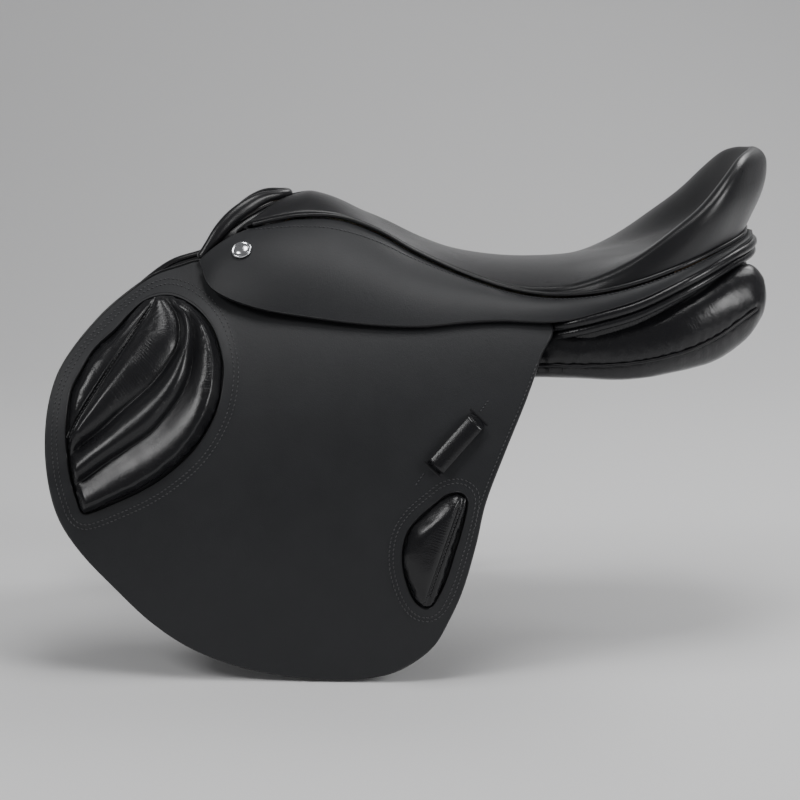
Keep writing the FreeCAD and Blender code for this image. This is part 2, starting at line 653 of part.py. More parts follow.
def build_keeper():
    """Strap bridge on the flap: both ends down on the leather, a tunnel between."""
    whole = side_slab(turned(rectangle(KEEPER_LENGTH, KEEPER_W), KEEPER_AT, KEEPER_ANGLE),
                      -KEEPER_ROOM - KEEPER_T, -0.05, False)
    room = side_slab(turned(rectangle(KEEPER_LENGTH - 2 * KEEPER_T, KEEPER_W + 4), KEEPER_AT, KEEPER_ANGLE),
                     -KEEPER_ROOM, 2.0, False)
    return whole.cut(room)


def strap_pivot(y):
    return V(below(skin, y, STRAP_TOP_Z, STRAP_TOP + STRAP_T / 2), y, STRAP_TOP_Z - 6)


def build_strap(y):
    """Girth strap with a pointed end and a row of buckle holes."""
    half = STRAP_W / 2
    outline = [(y - half, STRAP_TOP_Z), (y - half, STRAP_BOTTOM_Z + 14), (y - 5, STRAP_BOTTOM_Z),
               (y + 5, STRAP_BOTTOM_Z), (y + half, STRAP_BOTTOM_Z + 14), (y + half, STRAP_TOP_Z)]
    strap = side_slab(outline, STRAP_TOP, STRAP_TOP + STRAP_T, False)
    holes = [cylinder(V(60, y, z), V(260, y, z), STRAP_HOLE_R) for z in strap_hole_heights()]
    return strap.cut(holes)


def strap_hole_heights():
    return [STRAP_BOTTOM_Z + 30 + STRAP_HOLE_PITCH * k for k in range(STRAP_HOLES)]


def build_girth_web():
    """Webbing strap that carries the girth straps, over the rail and down."""
    y0, y1 = STRAP_Y["front"] - STRAP_W / 2, STRAP_Y["rear"] + STRAP_W / 2
    low, high = STRAP_TOP_Z + WEB_GAP, STRAP_TOP_Z + WEB_GAP + WEB_TALL
    outline = [(y0, low), (y1, low), (y1, high), (y0, high)]
    return side_slab(outline, STRAP_TOP + 1.0, STRAP_TOP + 1.0 + WEB_T, False)


def panel_ring(y):
    """Closed ring of points round the panel at a station."""
    corners = []
    for k in range(8):
        table = [(station, ring[k][0], ring[k][1]) for station, ring in sorted(PANEL.items())]
        corners.append(V(smooth(table, y), y, smooth(table, y, 2)))
    curve = Part.BSplineCurve()
    curve.interpolate(Points=corners, PeriodicFlag=True)
    first, last = curve.FirstParameter, curve.LastParameter
    return [curve.value(first + (last - first) * k / PANEL_POINTS) for k in range(PANEL_POINTS + 1)]


def build_panel():
    """Flocked panel: a smooth skin through its rings, closed at both ends."""
    y0, y1 = min(PANEL), max(PANEL)
    count = PANEL_STATIONS - 1
    grid = [panel_ring(y0 + (y1 - y0) * k / count) for k in range(count + 1)]
    surface = Part.BSplineSurface()
    surface.interpolate(grid)
    u0, u1 = surface.bounds()[:2]
    caps = [Part.Face(Part.Wire([surface.uIso(u).toShape()])) for u in (u0, u1)]
    solid = Part.Solid(Part.makeShell([surface.toShape()] + caps))
    if solid.Volume < 0:
        solid.reverse()
    return solid


# ------------------------------------------------------------------ dee rings
def dee_frame():
    """Centre of the ring's straight side, its outward normal and downward direction."""
    y, z = DEE_AT
    down = V(skin(y, z - 3) - skin(y, z + 3), 0, -6).normalize()
    out = V(-down.z, 0, down.x)
    stand = DEE_WIRE_R + RUNNING_FIT + STAPLE_WALL + SKIN_GAP - 0.1
    return V(skin(y, z), y, z) + out * stand, out, down


def build_dee():
    """Steel dee, hanging by its straight side, and the staple that holds it."""
    base, out, down = dee_frame()
    along = V(0, 1, 0)
    ends = [base - along * DEE_R, base + along * DEE_R]
    torus = Part.makeTorus(DEE_R, DEE_WIRE_R, base, out)
    round_side = torus.common(half_space(base, along, down, 60))
    balls = [Part.makeSphere(DEE_WIRE_R, end) for end in ends]
    dee = round_side.fuse([cylinder(ends[0], ends[1], DEE_WIRE_R)] + balls)
    half = along * (STAPLE_LENGTH / 2)
    bore = DEE_WIRE_R + RUNNING_FIT
    staple = cylinder(base - half, base + half, bore + STAPLE_WALL)
    return {"dee_ring": dee, "dee_staple": staple.cut(cylinder(base - half * 2, base + half * 2, bore))}


# ---------------------------------------------------------------------- build
def build():
    """Every node by name. What has two sides is built near and mirrored."""
    parts = {}
    parts.update(build_head())
    parts["tree_cantle"] = build_cantle()
    parts.update(build_seat())
    parts.update(build_facings())
    parts["channel_lining"] = bar_loft([(0, y, z) for y, z in CHANNEL], LINING_W, LINING_T)

    near = {"tree_rail": bar_loft(RAIL_LINE, RAIL_W, RAIL_T).cut(bar_rivet_holes()),
            "tree_spring": bar_loft(RAIL_LINE, SPRING_W, SPRING_T, RAIL_T + SKIN_GAP),
            "welt": build_welt(),
            "saddle_nail": build_nail(),
            "sweat_flap": side_slab(SWEAT_OUTLINE, SWEAT_TOP, SWEAT_TOP + SWEAT_T),
            "panel": build_panel(),
            "girth_web": build_girth_web(),
            "knee_block": build_block(KNEE_OUTLINE, BLOCK_H),
            "thigh_block": build_block(THIGH_OUTLINE, BLOCK_H),
            "keeper": build_keeper()}
    near.update(build_bar())
    near.update(build_skirt())
    near.update(build_flap())
    near.update(build_dee())
    for place, y in STRAP_Y.items():
        near["girth_strap_" + place] = build_strap(y)
    for name, shape in near.items():
        parts[name + "_near"] = shape
        parts[name + "_off"] = mirrored(shape)
    rivets = build_bar_rivets()
    parts["bar_rivets"] = Part.makeCompound(rivets + [mirrored(shape) for shape in rivets])
    return parts


def save(parts):
    os.makedirs("parts", exist_ok=True)
    for name, shape in parts.items():
        shape.exportStep("parts/" + name + ".step")


if __name__ == "__main__":
    save(build())
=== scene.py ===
# %% [markdown]
# # An English jumping saddle
# The saddle is a wooden and steel tree with a leather seat, two skirts, two big
# flaps with padded blocks, and two stuffed panels below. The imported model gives
# the places and the joints. Each soft piece is modelled again here as leather.
# %% Start: load the frame
import math

import bmesh
import bpy
from mathutils import Matrix, Vector, geometry, kdtree
from mathutils.bvhtree import BVHTree


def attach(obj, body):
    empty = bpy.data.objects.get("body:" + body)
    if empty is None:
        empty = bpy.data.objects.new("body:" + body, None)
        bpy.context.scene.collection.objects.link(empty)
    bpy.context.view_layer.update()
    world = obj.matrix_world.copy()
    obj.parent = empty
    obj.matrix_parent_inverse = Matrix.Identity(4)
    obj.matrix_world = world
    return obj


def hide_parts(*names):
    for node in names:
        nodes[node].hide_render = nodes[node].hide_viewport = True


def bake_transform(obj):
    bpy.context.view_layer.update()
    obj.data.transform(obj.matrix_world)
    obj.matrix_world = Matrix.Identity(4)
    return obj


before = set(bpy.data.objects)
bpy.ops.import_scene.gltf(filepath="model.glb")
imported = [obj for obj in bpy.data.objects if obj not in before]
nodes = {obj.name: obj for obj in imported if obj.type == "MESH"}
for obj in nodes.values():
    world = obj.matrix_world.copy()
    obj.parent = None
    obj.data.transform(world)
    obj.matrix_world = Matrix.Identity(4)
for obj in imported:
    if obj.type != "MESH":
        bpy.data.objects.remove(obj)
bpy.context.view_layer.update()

scene = bpy.context.scene
MM = 0.001
SIDES = (("near", 1), ("off", -1))

# %% [markdown]
# ## Sizes that the saddler cuts to
# Everything is drawn in millimetres and scaled to metres when a piece is made.
# The tables are the maker's own: the lines of the seat, the welt, the skirt, the
# rolls and the flap, with x across, y from pommel to cantle and z up.
# %% Sizes
SHOULDER_Z, SHOULDER_X, SHOULDER_Y, SHOULDER_RISE = 60.0, 78.0, -160.0, 0.08
SIDE_X, DROP, TURN_IN, STEEPEST = 174.0, 85.0, 60.0, 1.9
FLAP_T, SKIRT_T, SWEAT_T, STRAP_T, COVER_T = 4.5, 3.6, 3.5, 4.0, 2.4
STRAP_TOP = 5.5
SWEAT_TOP = 10.0
STRAP_W, STRAP_TOP_Z, STRAP_BOTTOM_Z = 25.0, 52.0, -172.0
STRAP_Y = {"front": -118.0, "middle": -86.0, "rear": -54.0}
SEAT_CENTRE = [(-206, 118), (-185, 130), (-166, 133), (-155, 134), (-130, 125.5), (-99, 107), (-67, 92),
               (-35, 84.4), (0, 80), (30, 79.5), (60, 81), (90, 85), (115, 90), (138, 97),
               (155, 106), (172, 120), (185, 137), (196, 156), (204, 168), (212, 170)]
SEAT_EDGE = [(-206, 45, 112), (-184, 43, 116.5), (-161, 41, 120), (-131, 41, 119), (-100, 43, 108.5),
             (-70, 51, 93), (-40, 63, 80.5), (-15, 76, 72.5), (0, 83, 69), (22, 92, 66), (45, 98, 67),
             (66, 103, 70.5), (90, 107, 78.5), (115, 107, 91), (138, 101, 105.5), (155, 94, 119),
             (172, 81, 137), (185, 62, 151), (196, 38, 161), (204, 17, 167.5), (209, 0, 169)]
WELT = [(45, -200, 111.5), (42, -184, 115), (40, -161, 118.5), (40, -131, 117.7), (42, -100, 107.4),
        (50, -70, 92), (62, -40, 79.6), (75, -15, 71.5), (82, 0, 67.5), (92, 22, 64), (100, 45, 63.2),
        (108, 75, 66.7), (110, 106, 74.7), (103, 138, 86), (86, 161, 94.5), (64, 179, 100.5),
        (38, 192, 105), (0, 198, 107)]
SKIRT_EDGE = [(-241, 83), (-229, 64), (-196, 51.5), (-152, 44.5), (-104, 39.6), (-62, 38.6), (-27, 42),
              (2, 43.5), (16, 43), (116, 36, 43), (118, 60, 46.5), (119, 84, 53.5), (118, 108, 61.5),
              (109, 140, 75.5), (92, 165, 86.5), (66, 186, 96), (38, 199, 101), (0, 205, 103)]
SKIRT_STAND = [10, 10.5, 9.5, 7.5, 6.2, 5.4, 5.2, 5.2, 5.2]
SKIRT_BULGE = 0.11
ROLL_LINE = [(116, 54, 41), (119.5, 74, 46.2), (119, 105, 55.6), (111.5, 137, 69.9), (96, 162, 80.9),
             (71, 184, 89.9), (43, 199, 94), (14, 206, 96)]
POMMEL_FRONT = [(60, -243, 82), (55, -236, 97), (49, -229, 110), (42, -219, 121), (34, -207, 129.5),
                (25, -195, 134.5), (12, -182, 136.5), (0, -176, 137)]
POMMEL_BACK = [(54, -236, 84), (52, -228, 93), (48, -220, 104), (42, -212, 111.5), (34, -201, 119),
               (23, -189, 125.5), (12, -176, 130), (0, -170, 131)]
FLAP_OUTLINE = [(-242, 81), (-257, 77), (-279, 69.5), (-303, 53), (-319, 38), (-337, 15), (-347, -5),
                (-352, -35), (-350, -72), (-341, -105), (-324, -131), (-297, -159), (-268, -186),
                (-237, -206), (-199, -220), (-161, -227), (-129, -229), (-99, -227), (-76, -220),
                (-53, -203), (-41, -183), (-30, -158), (-20, -123), (-13, -92), (1, -55), (18, -14),
                (30, 18), (38, 38), (20, 43), (0, 46), (-60, 50), (-110, 56), (-180, 58), (-208, 62),
                (-224, 78)]
SWEAT_OUTLINE = [(-225, 40), (-262, 44), (-290, 28), (-312, 0), (-325, -32), (-326, -70), (-316, -100),
                 (-296, -130), (-255, -170), (-210, -196), (-150, -208), (-100, -207), (-72, -196),
                 (-52, -165), (-38, -120), (-28, -80), (-14, -40), (2, -8), (4, 22), (-60, 34), (-140, 38)]
KNEE_WINDOW = [(-275, 56), (-263, 57), (-249, 53), (-236, 45), (-225, 33), (-218, 17), (-215, 1), (-218, -22),
               (-227, -42), (-240, -59), (-259, -75), (-277, -86), (-299, -96), (-314, -102), (-322, -103),
               (-327, -93), (-332, -78), (-335, -62), (-337, -44), (-337, -26), (-335, -11), (-329, 2),
               (-319, 19), (-304, 33), (-294, 44), (-285, 52)]
THIGH_WINDOW = [(-33, -83), (-27, -86), (-25, -92), (-29, -111), (-35, -131), (-41, -150), (-48, -165),
                (-55, -173), (-64, -170), (-72, -155), (-76, -135), (-73, -116), (-64, -103), (-50, -91),
                (-42, -85)]
FLAP_BEND = ((72.557, -292, 60), (130.542, 33, 17))
SKIRT_BEND = ((76.649, -230, 88), (119.202, 10, 50))
NAIL_AT = (-206, 92)
KEEPER_AT, KEEPER_ANGLE = (-35, -47), 48
PANEL = {
    -226: [(32, 52), (39, 55), (57, 26), (96, -30), (118, -75), (112, -82), (84, -40), (52, 14)],
    -190: [(28, 52), (37, 56), (61, 26), (104, -30), (130, -88), (122, -96), (90, -45), (50, 14)],
    -145: [(28, 56), (42, 60), (72, 28), (110, -30), (134, -84), (122, -92), (92, -42), (48, 14)],
    -95: [(28, 50), (46, 56), (80, 26), (112, -14), (126, -46), (114, -54), (84, -18), (42, 14)],
    -45: [(30, 42), (54, 48), (84, 28), (106, 4), (112, -16), (100, -19), (70, -5), (38, 14)],
    10: [(31, 32), (66, 38), (93, 32), (110, 12), (111, -2), (98, -8), (66, -2), (36, 10)],
    55: [(32, 31), (74, 39), (104, 35), (118, 14), (113, -2), (94, -5), (60, 0), (37, 12)],
    100: [(31, 37), (78, 47), (108, 45), (121, 19), (114, -1), (92, -4), (60, 2), (36, 16)],
    140: [(30, 46), (70, 62), (104, 59), (117, 29), (106, 6), (84, 2), (56, 9), (35, 22)],
    170: [(29, 54), (58, 74), (90, 71), (103, 43), (95, 15), (74, 9), (52, 17), (34, 32)],
    192: [(28, 66), (46, 83), (70, 80), (87, 56), (82, 29), (66, 22), (46, 30), (32, 44)],
    206: [(32, 64), (44, 80), (60, 79), (76, 60), (73, 41), (58, 35), (44, 42), (34, 52)],
}
CHANNEL = [(-150, 46), (-95, 40), (-45, 33), (10, 26), (55, 25), (100, 31), (140, 40), (185, 54)]
print("flap outline has", len(FLAP_OUTLINE), "points")

# %% [markdown]
# ## The side of the horse
# The flaps, the sweat flaps and the girth straps all lie on one curved surface:
# the horse's side. One function gives it, and each layer stands off it or lies
# under it. A second function gives the height of the seat.
# %% Surfaces
def smooth(table, t, column=1):
    """Value of a column at t, on a curve with finite-difference tangents."""
    if t <= table[0][0]:
        return float(table[0][column])
    if t >= table[-1][0]:
        return float(table[-1][column])
    i = max(k for k in range(len(table) - 1) if table[k][0] <= t)

    def slope(k):
        lo, hi = max(k - 1, 0), min(k + 1, len(table) - 1)
        return (table[hi][column] - table[lo][column]) / float(table[hi][0] - table[lo][0])

    width = float(table[i + 1][0] - table[i][0])
    s = (t - table[i][0]) / width
    start, end = 2 * s**3 - 3 * s**2 + 1, 3 * s**2 - 2 * s**3
    return (start * table[i][column] + (s**3 - 2 * s**2 + s) * width * slope(i)
            + end * table[i + 1][column] + (s**3 - s**2) * width * slope(i + 1))


def skin(y, z):
    """x of the flap's outer face."""
    top = SHOULDER_X + SHOULDER_RISE * (y - SHOULDER_Y)
    reach = SIDE_X - top
    if z <= SHOULDER_Z:
        return top + reach * (1 - math.exp((z - SHOULDER_Z) / DROP))
    up = min(z - SHOULDER_Z, TURN_IN)
    return top - reach / DROP * up * (1 - up / (2 * TURN_IN))


def side_normal(y, z):
    across, down = skin(y - 1, z) - skin(y + 1, z), skin(y, z - 1) - skin(y, z + 1)
    return Vector((1, across / 2, down / 2)).normalized()


def side_point(y, z, stand=0.0):
    """Point that stands off the flap's face, or lies under it when stand is negative."""
    return Vector((skin(y, z) + stand * min(1 / side_normal(y, z).x, STEEPEST), y, z))


def seat_top(x, y):
    """Height of the seat: a dish with a rim behind, a rounded twist in front."""
    centre = smooth(SEAT_CENTRE, y)
    edge = smooth(SEAT_EDGE, y, 2)
    across = abs(x) / max(smooth(SEAT_EDGE, y), 6.0)
    if edge > centre:
        share = math.sin(math.pi / 2 * min(across, 1.0) ** 1.4) ** 2
    else:
        share = min(across, 1.3) ** 2.2
    return centre + (edge - centre) * share


print("seat is %.0f mm high at its deepest" % seat_top(0, 30))

# %% [markdown]
# ## Lines and sheets
# A pattern piece is a closed line in the side view. A smooth line goes through
# its points, and is then divided evenly. The sheet inside it starts as one fill,
# cut by planes into even cells so that it can bend. This keeps the cut edge exact,
# which a plain grid would not.
# %% Lines
def curve_through(points, closed=False, parts=12):
    """Smooth line through points, as many short parts between each two."""
    knots = [Vector(p) for p in points]
    count = len(knots)
    line = []
    for i in range(count if closed else count - 1):
        a, b = knots[i], knots[(i + 1) % count]
        before = knots[i - 1] if closed or i > 0 else a
        after = knots[(i + 2) % count] if closed or i + 2 < count else b
        reach = (b - a).length / 3
        out, back = (b - before).normalized() * reach, (after - a).normalized() * reach
        line += geometry.interpolate_bezier(a, a + out, b - back, b, parts + 1)[:-1]
    return line if closed else line + [knots[-1]]


def evenly(line, step, closed=False):
    """The same line with points at an even step."""
    line = line + line[:1] if closed else line
    run = [0.0]
    for a, b in zip(line, line[1:]):
        run.append(run[-1] + (b - a).length)
    count = max(3, round(run[-1] / step))
    out, k = [], 0
    for i in range(count if closed else count + 1):
        at = run[-1] * i / count
        while k < len(run) - 2 and run[k + 1] < at:
            k += 1
        out.append(line[k].lerp(line[k + 1], min(1, (at - run[k]) / max(run[k + 1] - run[k], 1e-9))))
    return out


def side_line(points, step=2.5, closed=False):
    """Evenly divided smooth line in the side view."""
    return evenly(curve_through([(0, y, z) for y, z in points], closed), step, closed)


def rail(points):
    """Function that gives a smooth rail's point at t from 0 to 1."""
    dense = curve_through(points)

    def at(t):
        place = min(max(t, 0.0), 1.0) * (len(dense) - 1)
        k = min(int(place), len(dense) - 2)
        return dense[k].lerp(dense[k + 1], place - k)

    return at


def moved_out(points, out, up):
    """The rail moved level away from the seat, and up."""
    moved = []
    for i, (x, y, z) in enumerate(points):
        ahead, back = points[min(i + 1, len(points) - 1)], points[max(i - 1, 0)]
        normal = Vector((ahead[1] - back[1], back[0] - ahead[0], 0)).normalized()
        moved.append((max(x + normal.x * out, 0.0), y + normal.y * out, z + up))
    return moved


print("knee window is %.0f mm round" % (2 * len(side_line(KNEE_WINDOW, 2, True))))

# %% Sheets
def turn_out(bm, towards=Vector((1, 0, 0))):
    """Makes the faces agree, and look towards a direction on the whole."""
    bmesh.ops.recalc_face_normals(bm, faces=bm.faces)
    if sum(f.normal.dot(towards) * f.calc_area() for f in bm.faces) < 0:
        bmesh.ops.reverse_faces(bm, faces=bm.faces)


def cut_sheet(loops, cell):
    """Flat sheet in the side view, inside the first loop and outside the others."""
    bm = bmesh.new()
    for loop in loops:
        ring = [bm.verts.new(p) for p in loop]
        for a, b in zip(ring, ring[1:] + ring[:1]):
            bm.edges.new((a, b))
    bmesh.ops.triangle_fill(bm, use_beauty=True, use_dissolve=False, edges=bm.edges[:])
    spare = bm.edges.layers.int.new("spare")
    for edge in bm.edges:
        edge[spare] = 0 if edge.is_boundary else 1
    for axis in (1, 2):
        low = min(v.co[axis] for v in bm.verts)
        high = max(v.co[axis] for v in bm.verts)
        direction = Vector((0, 1, 0)) if axis == 1 else Vector((0, 0, 1))
        for k in range(1, int((high - low) / cell) + 1):
            bmesh.ops.bisect_plane(bm, geom=bm.verts[:] + bm.edges[:] + bm.faces[:], dist=1e-4,
                                   plane_co=direction * (low + k * cell), plane_no=direction)
    inner = [e for e in bm.edges if e[spare] and not e.is_boundary]
    bmesh.ops.dissolve_edges(bm, edges=inner, use_verts=False)
    bmesh.ops.dissolve_verts(bm, verts=[v for v in bm.verts if len(v.link_edges) == 2 and not v.is_boundary])
    turn_out(bm)
    return bm


def patch(columns, rows, place):
    """Grid whose points are placed by a function of u and w, both from 0 to 1."""
    bm = bmesh.new()
    bmesh.ops.create_grid(bm, x_segments=columns, y_segments=rows, size=0.5)
    for v in bm.verts:
        v.co = place(v.co.x + 0.5, v.co.y + 0.5)
    bmesh.ops.remove_doubles(bm, verts=bm.verts, dist=0.002)
    bmesh.ops.recalc_face_normals(bm, faces=bm.faces)
    return bm


def with_modifiers(bm, *modifiers):
    """The shape after modifiers, each given as its type and settings."""
    mesh = bpy.data.meshes.new("work")
    bm.to_mesh(mesh)
    bm.free()
    holder = bpy.data.objects.new("work", mesh)
    scene.collection.objects.link(holder)
    for kind, settings in modifiers:
        modifier = holder.modifiers.new(kind, kind)
        for name, value in settings.items():
            setattr(modifier, name, value)
    bpy.context.view_layer.update()
    done = bpy.data.meshes.new_from_object(holder.evaluated_get(bpy.context.evaluated_depsgraph_get()))
    out = bmesh.new()
    out.from_mesh(done)
    bpy.data.objects.remove(holder)
    bpy.data.meshes.remove(mesh)
    bpy.data.meshes.remove(done)
    return out


def thick(bm, amount, even=True):
    """Gives a sheet its thickness, on the side away from its faces."""
    return with_modifiers(bm, ("SOLIDIFY", {"thickness": amount, "offset": -1, "use_even_offset": even}))


def rounded(bm, width, segments):
    """Rounds the sharp edges of a thick sheet."""
    return with_modifiers(bm, ("BEVEL", {"width": width, "segments": segments, "limit_method": "ANGLE"}))


def join(bm, other, material=0):
    """Adds another shape to the first, with its own material number."""
    mesh = bpy.data.meshes.new("work")
    for face in other.faces:
        face.material_index = material
    other.to_mesh(mesh)
    other.free()
    bm.from_mesh(mesh)
    bpy.data.meshes.remove(mesh)
    return bm


def bead(points, normals, across, tall, closed=False, ring=8):
    """Rounded edge or piping: an oval section that follows a line."""
    count = len(points)
    sides = []
    for i in range(count):
        ahead = points[(i + 1) % count] if closed or i < count - 1 else points[i]
        back = points[i - 1] if closed or i > 0 else points[i]
        sides.append((ahead - back).cross(normals[i]).normalized())

    def place(u, w):
        i = round(w * count) % count if closed else round(w * (count - 1))
        angle = 2 * math.pi * u
        return points[i] + sides[i] * (across * math.cos(angle)) + normals[i] * (tall * math.sin(angle))

    tube = patch(ring, count if closed else count - 1, place)
    if not closed:
        bmesh.ops.holes_fill(tube, edges=[e for e in tube.edges if e.is_boundary], sides=ring)
        bmesh.ops.recalc_face_normals(tube, faces=tube.faces)
    return tube


STITCH_PITCH = 3.4
STITCH_LENGTH = 2.7
THREAD_HALF = 0.5
STITCH_SLANT = 0.22


def stitches(bm, points, normals, material, pitch=STITCH_PITCH):
    """A row of saddler's stitches, each a small slanting bead of thread."""
    for i in range(len(points) - 1):
        along = (points[i + 1] - points[i]).normalized()
        side = along.cross(normals[i]).normalized()
        along = (along + side * STITCH_SLANT).normalized()
        side = along.cross(normals[i]).normalized()
        turn = Matrix((along * (STITCH_LENGTH / 2 * pitch / STITCH_PITCH), side * THREAD_HALF,
                       normals[i] * THREAD_HALF)).transposed().to_4x4()
        middle = (points[i] + points[i + 1]) / 2 + normals[i] * THREAD_HALF * 0.45
        made = bmesh.ops.create_icosphere(bm, subdivisions=1, radius=1.0,
                                          matrix=Matrix.Translation(middle) @ turn)
        for face in {f for v in made["verts"] for f in v.link_faces}:
            face.material_index = material
    return bm


def side_stitches(bm, line, stand, material, pitch=STITCH_PITCH, closed=False):
    """Stitches along a line in the side view."""
    spots = evenly(line, pitch, closed)
    spots = spots + spots[:1] if closed else spots
    return stitches(bm, [side_point(p.y, p.z, stand) for p in spots],
                    [side_normal(p.y, p.z) for p in spots], material, pitch)


print("helpers ready")

# %% [markdown]
# ## Writing materials
# Shader maths reads best as plain sums. A small class wraps a socket and adds a
# Math node for each operator, and one method makes any other node.
# %% Shader helpers
class Wire:
    """A shader socket that can be added, multiplied and so on."""

    def __init__(self, finish, socket):
        self.finish, self.socket = finish, socket

    def math(self, operation, other=0.0, swap=False):
        pair = (other, self) if swap else (self, other)
        return self.finish.node("ShaderNodeMath", {"operation": operation}, {0: pair[0], 1: pair[1]})

    def __add__(self, other):
        return self.math("ADD", other)

    __radd__ = __add__

    def __sub__(self, other):
        return self.math("SUBTRACT", other)

    def __rsub__(self, other):
        return self.math("SUBTRACT", other, True)

    def __mul__(self, other):
        return self.math("MULTIPLY", other)

    __rmul__ = __mul__

    def __truediv__(self, other):
        return self.math("DIVIDE", other)

    def __pow__(self, other):
        return self.math("POWER", other)

    def clipped(self):
        return self.math("MAXIMUM", 0.0).math("MINIMUM", 1.0)


class Finish:
    """A material with one Principled shader."""

    def __init__(self, name, **constants):
        self.material = bpy.data.materials.new(name)
        self.material.use_nodes = True
        self.tree = self.material.node_tree
        self.shader = self.tree.nodes["Principled BSDF"]
        for socket, value in constants.items():
            self.shader.inputs[socket.replace("_", " ")].default_value = value
        self.places = self.node("ShaderNodeTexCoord", output="Object")

    def node(self, kind, settings=None, sockets=None, output=0):
        made = self.tree.nodes.new(kind)
        for name, value in (settings or {}).items():
            setattr(made, name, value)
        for name, value in (sockets or {}).items():
            if isinstance(value, Wire):
                self.tree.links.new(value.socket, made.inputs[name])
            else:
                made.inputs[name].default_value = value
        return Wire(self, made.outputs[output])

    def feed(self, socket, wire):
        self.tree.links.new(wire.socket, self.shader.inputs[socket])

    def noise(self, scale, detail=3.0, roughness=0.5, places=None, distortion=0.0):
        return self.node("ShaderNodeTexNoise", None, {
            "Vector": places or self.places, "Scale": scale, "Detail": detail,
            "Roughness": roughness, "Distortion": distortion})

    def cells(self, scale, feature="F1", randomness=1.0):
        return self.node("ShaderNodeTexVoronoi", {"feature": feature}, {
            "Vector": self.places, "Scale": scale, "Randomness": randomness})

    def mix(self, factor, a, b):
        """Mixes two colours."""
        made = self.tree.nodes.new("ShaderNodeMix")
        made.data_type = "RGBA"
        self.tree.links.new(factor.socket, made.inputs[0])
        for slot, colour in ((6, a), (7, b)):
            if isinstance(colour, Wire):
                self.tree.links.new(colour.socket, made.inputs[slot])
            else:
                made.inputs[slot].default_value = (*colour, 1)
        return Wire(self, made.outputs[2])

    def bump(self, height, depth, under=None):
        """Bump of a height from 0 to 1, which is `depth` metres deep."""
        sockets = {"Height": height, "Distance": depth, "Strength": 1.0}
        if under:
            sockets["Normal"] = under
        return self.node("ShaderNodeBump", None, sockets)


print("shader helpers ready")

# %% [markdown]
# ## Leather
# The flaps and skirts are dense bridle leather with a dull waxed face. The seat is
# smoother calf, and the blocks, rolls and panels are thin soft calf that shines and
# wrinkles where it is pulled over stuffing. All three have pores and a slow change
# of colour; the soft one also has folds, drawn from an attribute on each piece
# that says how far along and across the piece a point is.
# %% Leather finishes
def leather(name, dark, light, rough, pore, pore_depth, crease_depth, fold_depth=0.0, **constants):
    """Dyed leather. `pore` is the number of pores in a metre."""
    made = Finish(name, IOR=1.45, Specular_IOR_Level=0.38, **constants)
    slow = made.noise(9.0, 4.0, 0.6)
    cloud = made.noise(46.0, 3.0, 0.55)
    fleck = made.noise(pore * 1.7, 2.0, 0.6)
    shade = (slow * 0.6 + cloud * 0.3 + fleck * 0.25 - 0.2).clipped()
    made.feed("Base Color", made.mix(shade, dark, light))
    made.feed("Roughness", (slow * 0.12 + cloud * 0.08 + fleck * 0.08 + (rough - 0.14)).clipped())
    pores = made.cells(pore).math("POWER", 0.7)
    grain = made.bump(pores * 0.7 + fleck * 0.5, pore_depth)
    crease = made.bump(made.noise(pore * 0.22, 4.0, 0.62, None, 0.6), crease_depth, grain)
    if fold_depth:
        fold = made.node("ShaderNodeAttribute", {"attribute_name": "fold"}, output="Vector")
        parts = made.tree.nodes.new("ShaderNodeSeparateXYZ")
        made.tree.links.new(fold.socket, parts.inputs[0])
        along, across, amount = (Wire(made, parts.outputs[k]) for k in range(3))
        wander = made.noise(120.0, 2.0, 0.5)
        wide = made.noise(60.0, 1.0, 0.5)
        wave = (along * 2.8 + wander * 5.0 + across * 0.22).math("SINE") * 0.5 + 0.5
        broad = (along * 0.9 + wide * 6.0).math("SINE") * 0.5 + 0.5
        patches = (made.noise(38.0, 1.0, 0.5) * 4.0 - 1.45).clipped()
        crease = made.bump((wave * 0.6 + broad * 0.5) * amount * patches, fold_depth, crease)
    made.feed("Normal", crease)
    return made.material


BRIDLE = leather("bridle_leather", (0.016, 0.0165, 0.018), (0.030, 0.031, 0.034), 0.47, 1500,
                 0.00009, 0.00012)
SEAT_CALF = leather("seat_calf", (0.010, 0.010, 0.011), (0.020, 0.020, 0.022), 0.29, 1300, 0.00006, 0.00012,
                    Coat_Weight=0.15, Coat_Roughness=0.25)
SOFT_CALF = leather("soft_calf", (0.007, 0.007, 0.008), (0.016, 0.016, 0.018), 0.25, 950, 0.00008, 0.00016,
                    0.0003, Coat_Weight=0.15, Coat_Roughness=0.2)
EDGE_DYE = leather("edge_dye", (0.010, 0.010, 0.011), (0.020, 0.020, 0.022), 0.36, 700, 0.00005, 0.0001)
LINING = leather("lining_leather", (0.018, 0.018, 0.020), (0.034, 0.033, 0.035), 0.55, 1100, 0.0001, 0.00016)


def thread_finish():
    made = Finish("waxed_thread", Roughness=0.55, Sheen_Weight=0.2)
    made.feed("Base Color", made.mix(made.noise(700, 2), (0.020, 0.020, 0.022), (0.060, 0.061, 0.066)))
    made.feed("Normal", made.bump(made.noise(2600, 2), 0.00012))
    return made.material


THREAD = thread_finish()
print("leathers:", BRIDLE.name, SEAT_CALF.name, SOFT_CALF.name)

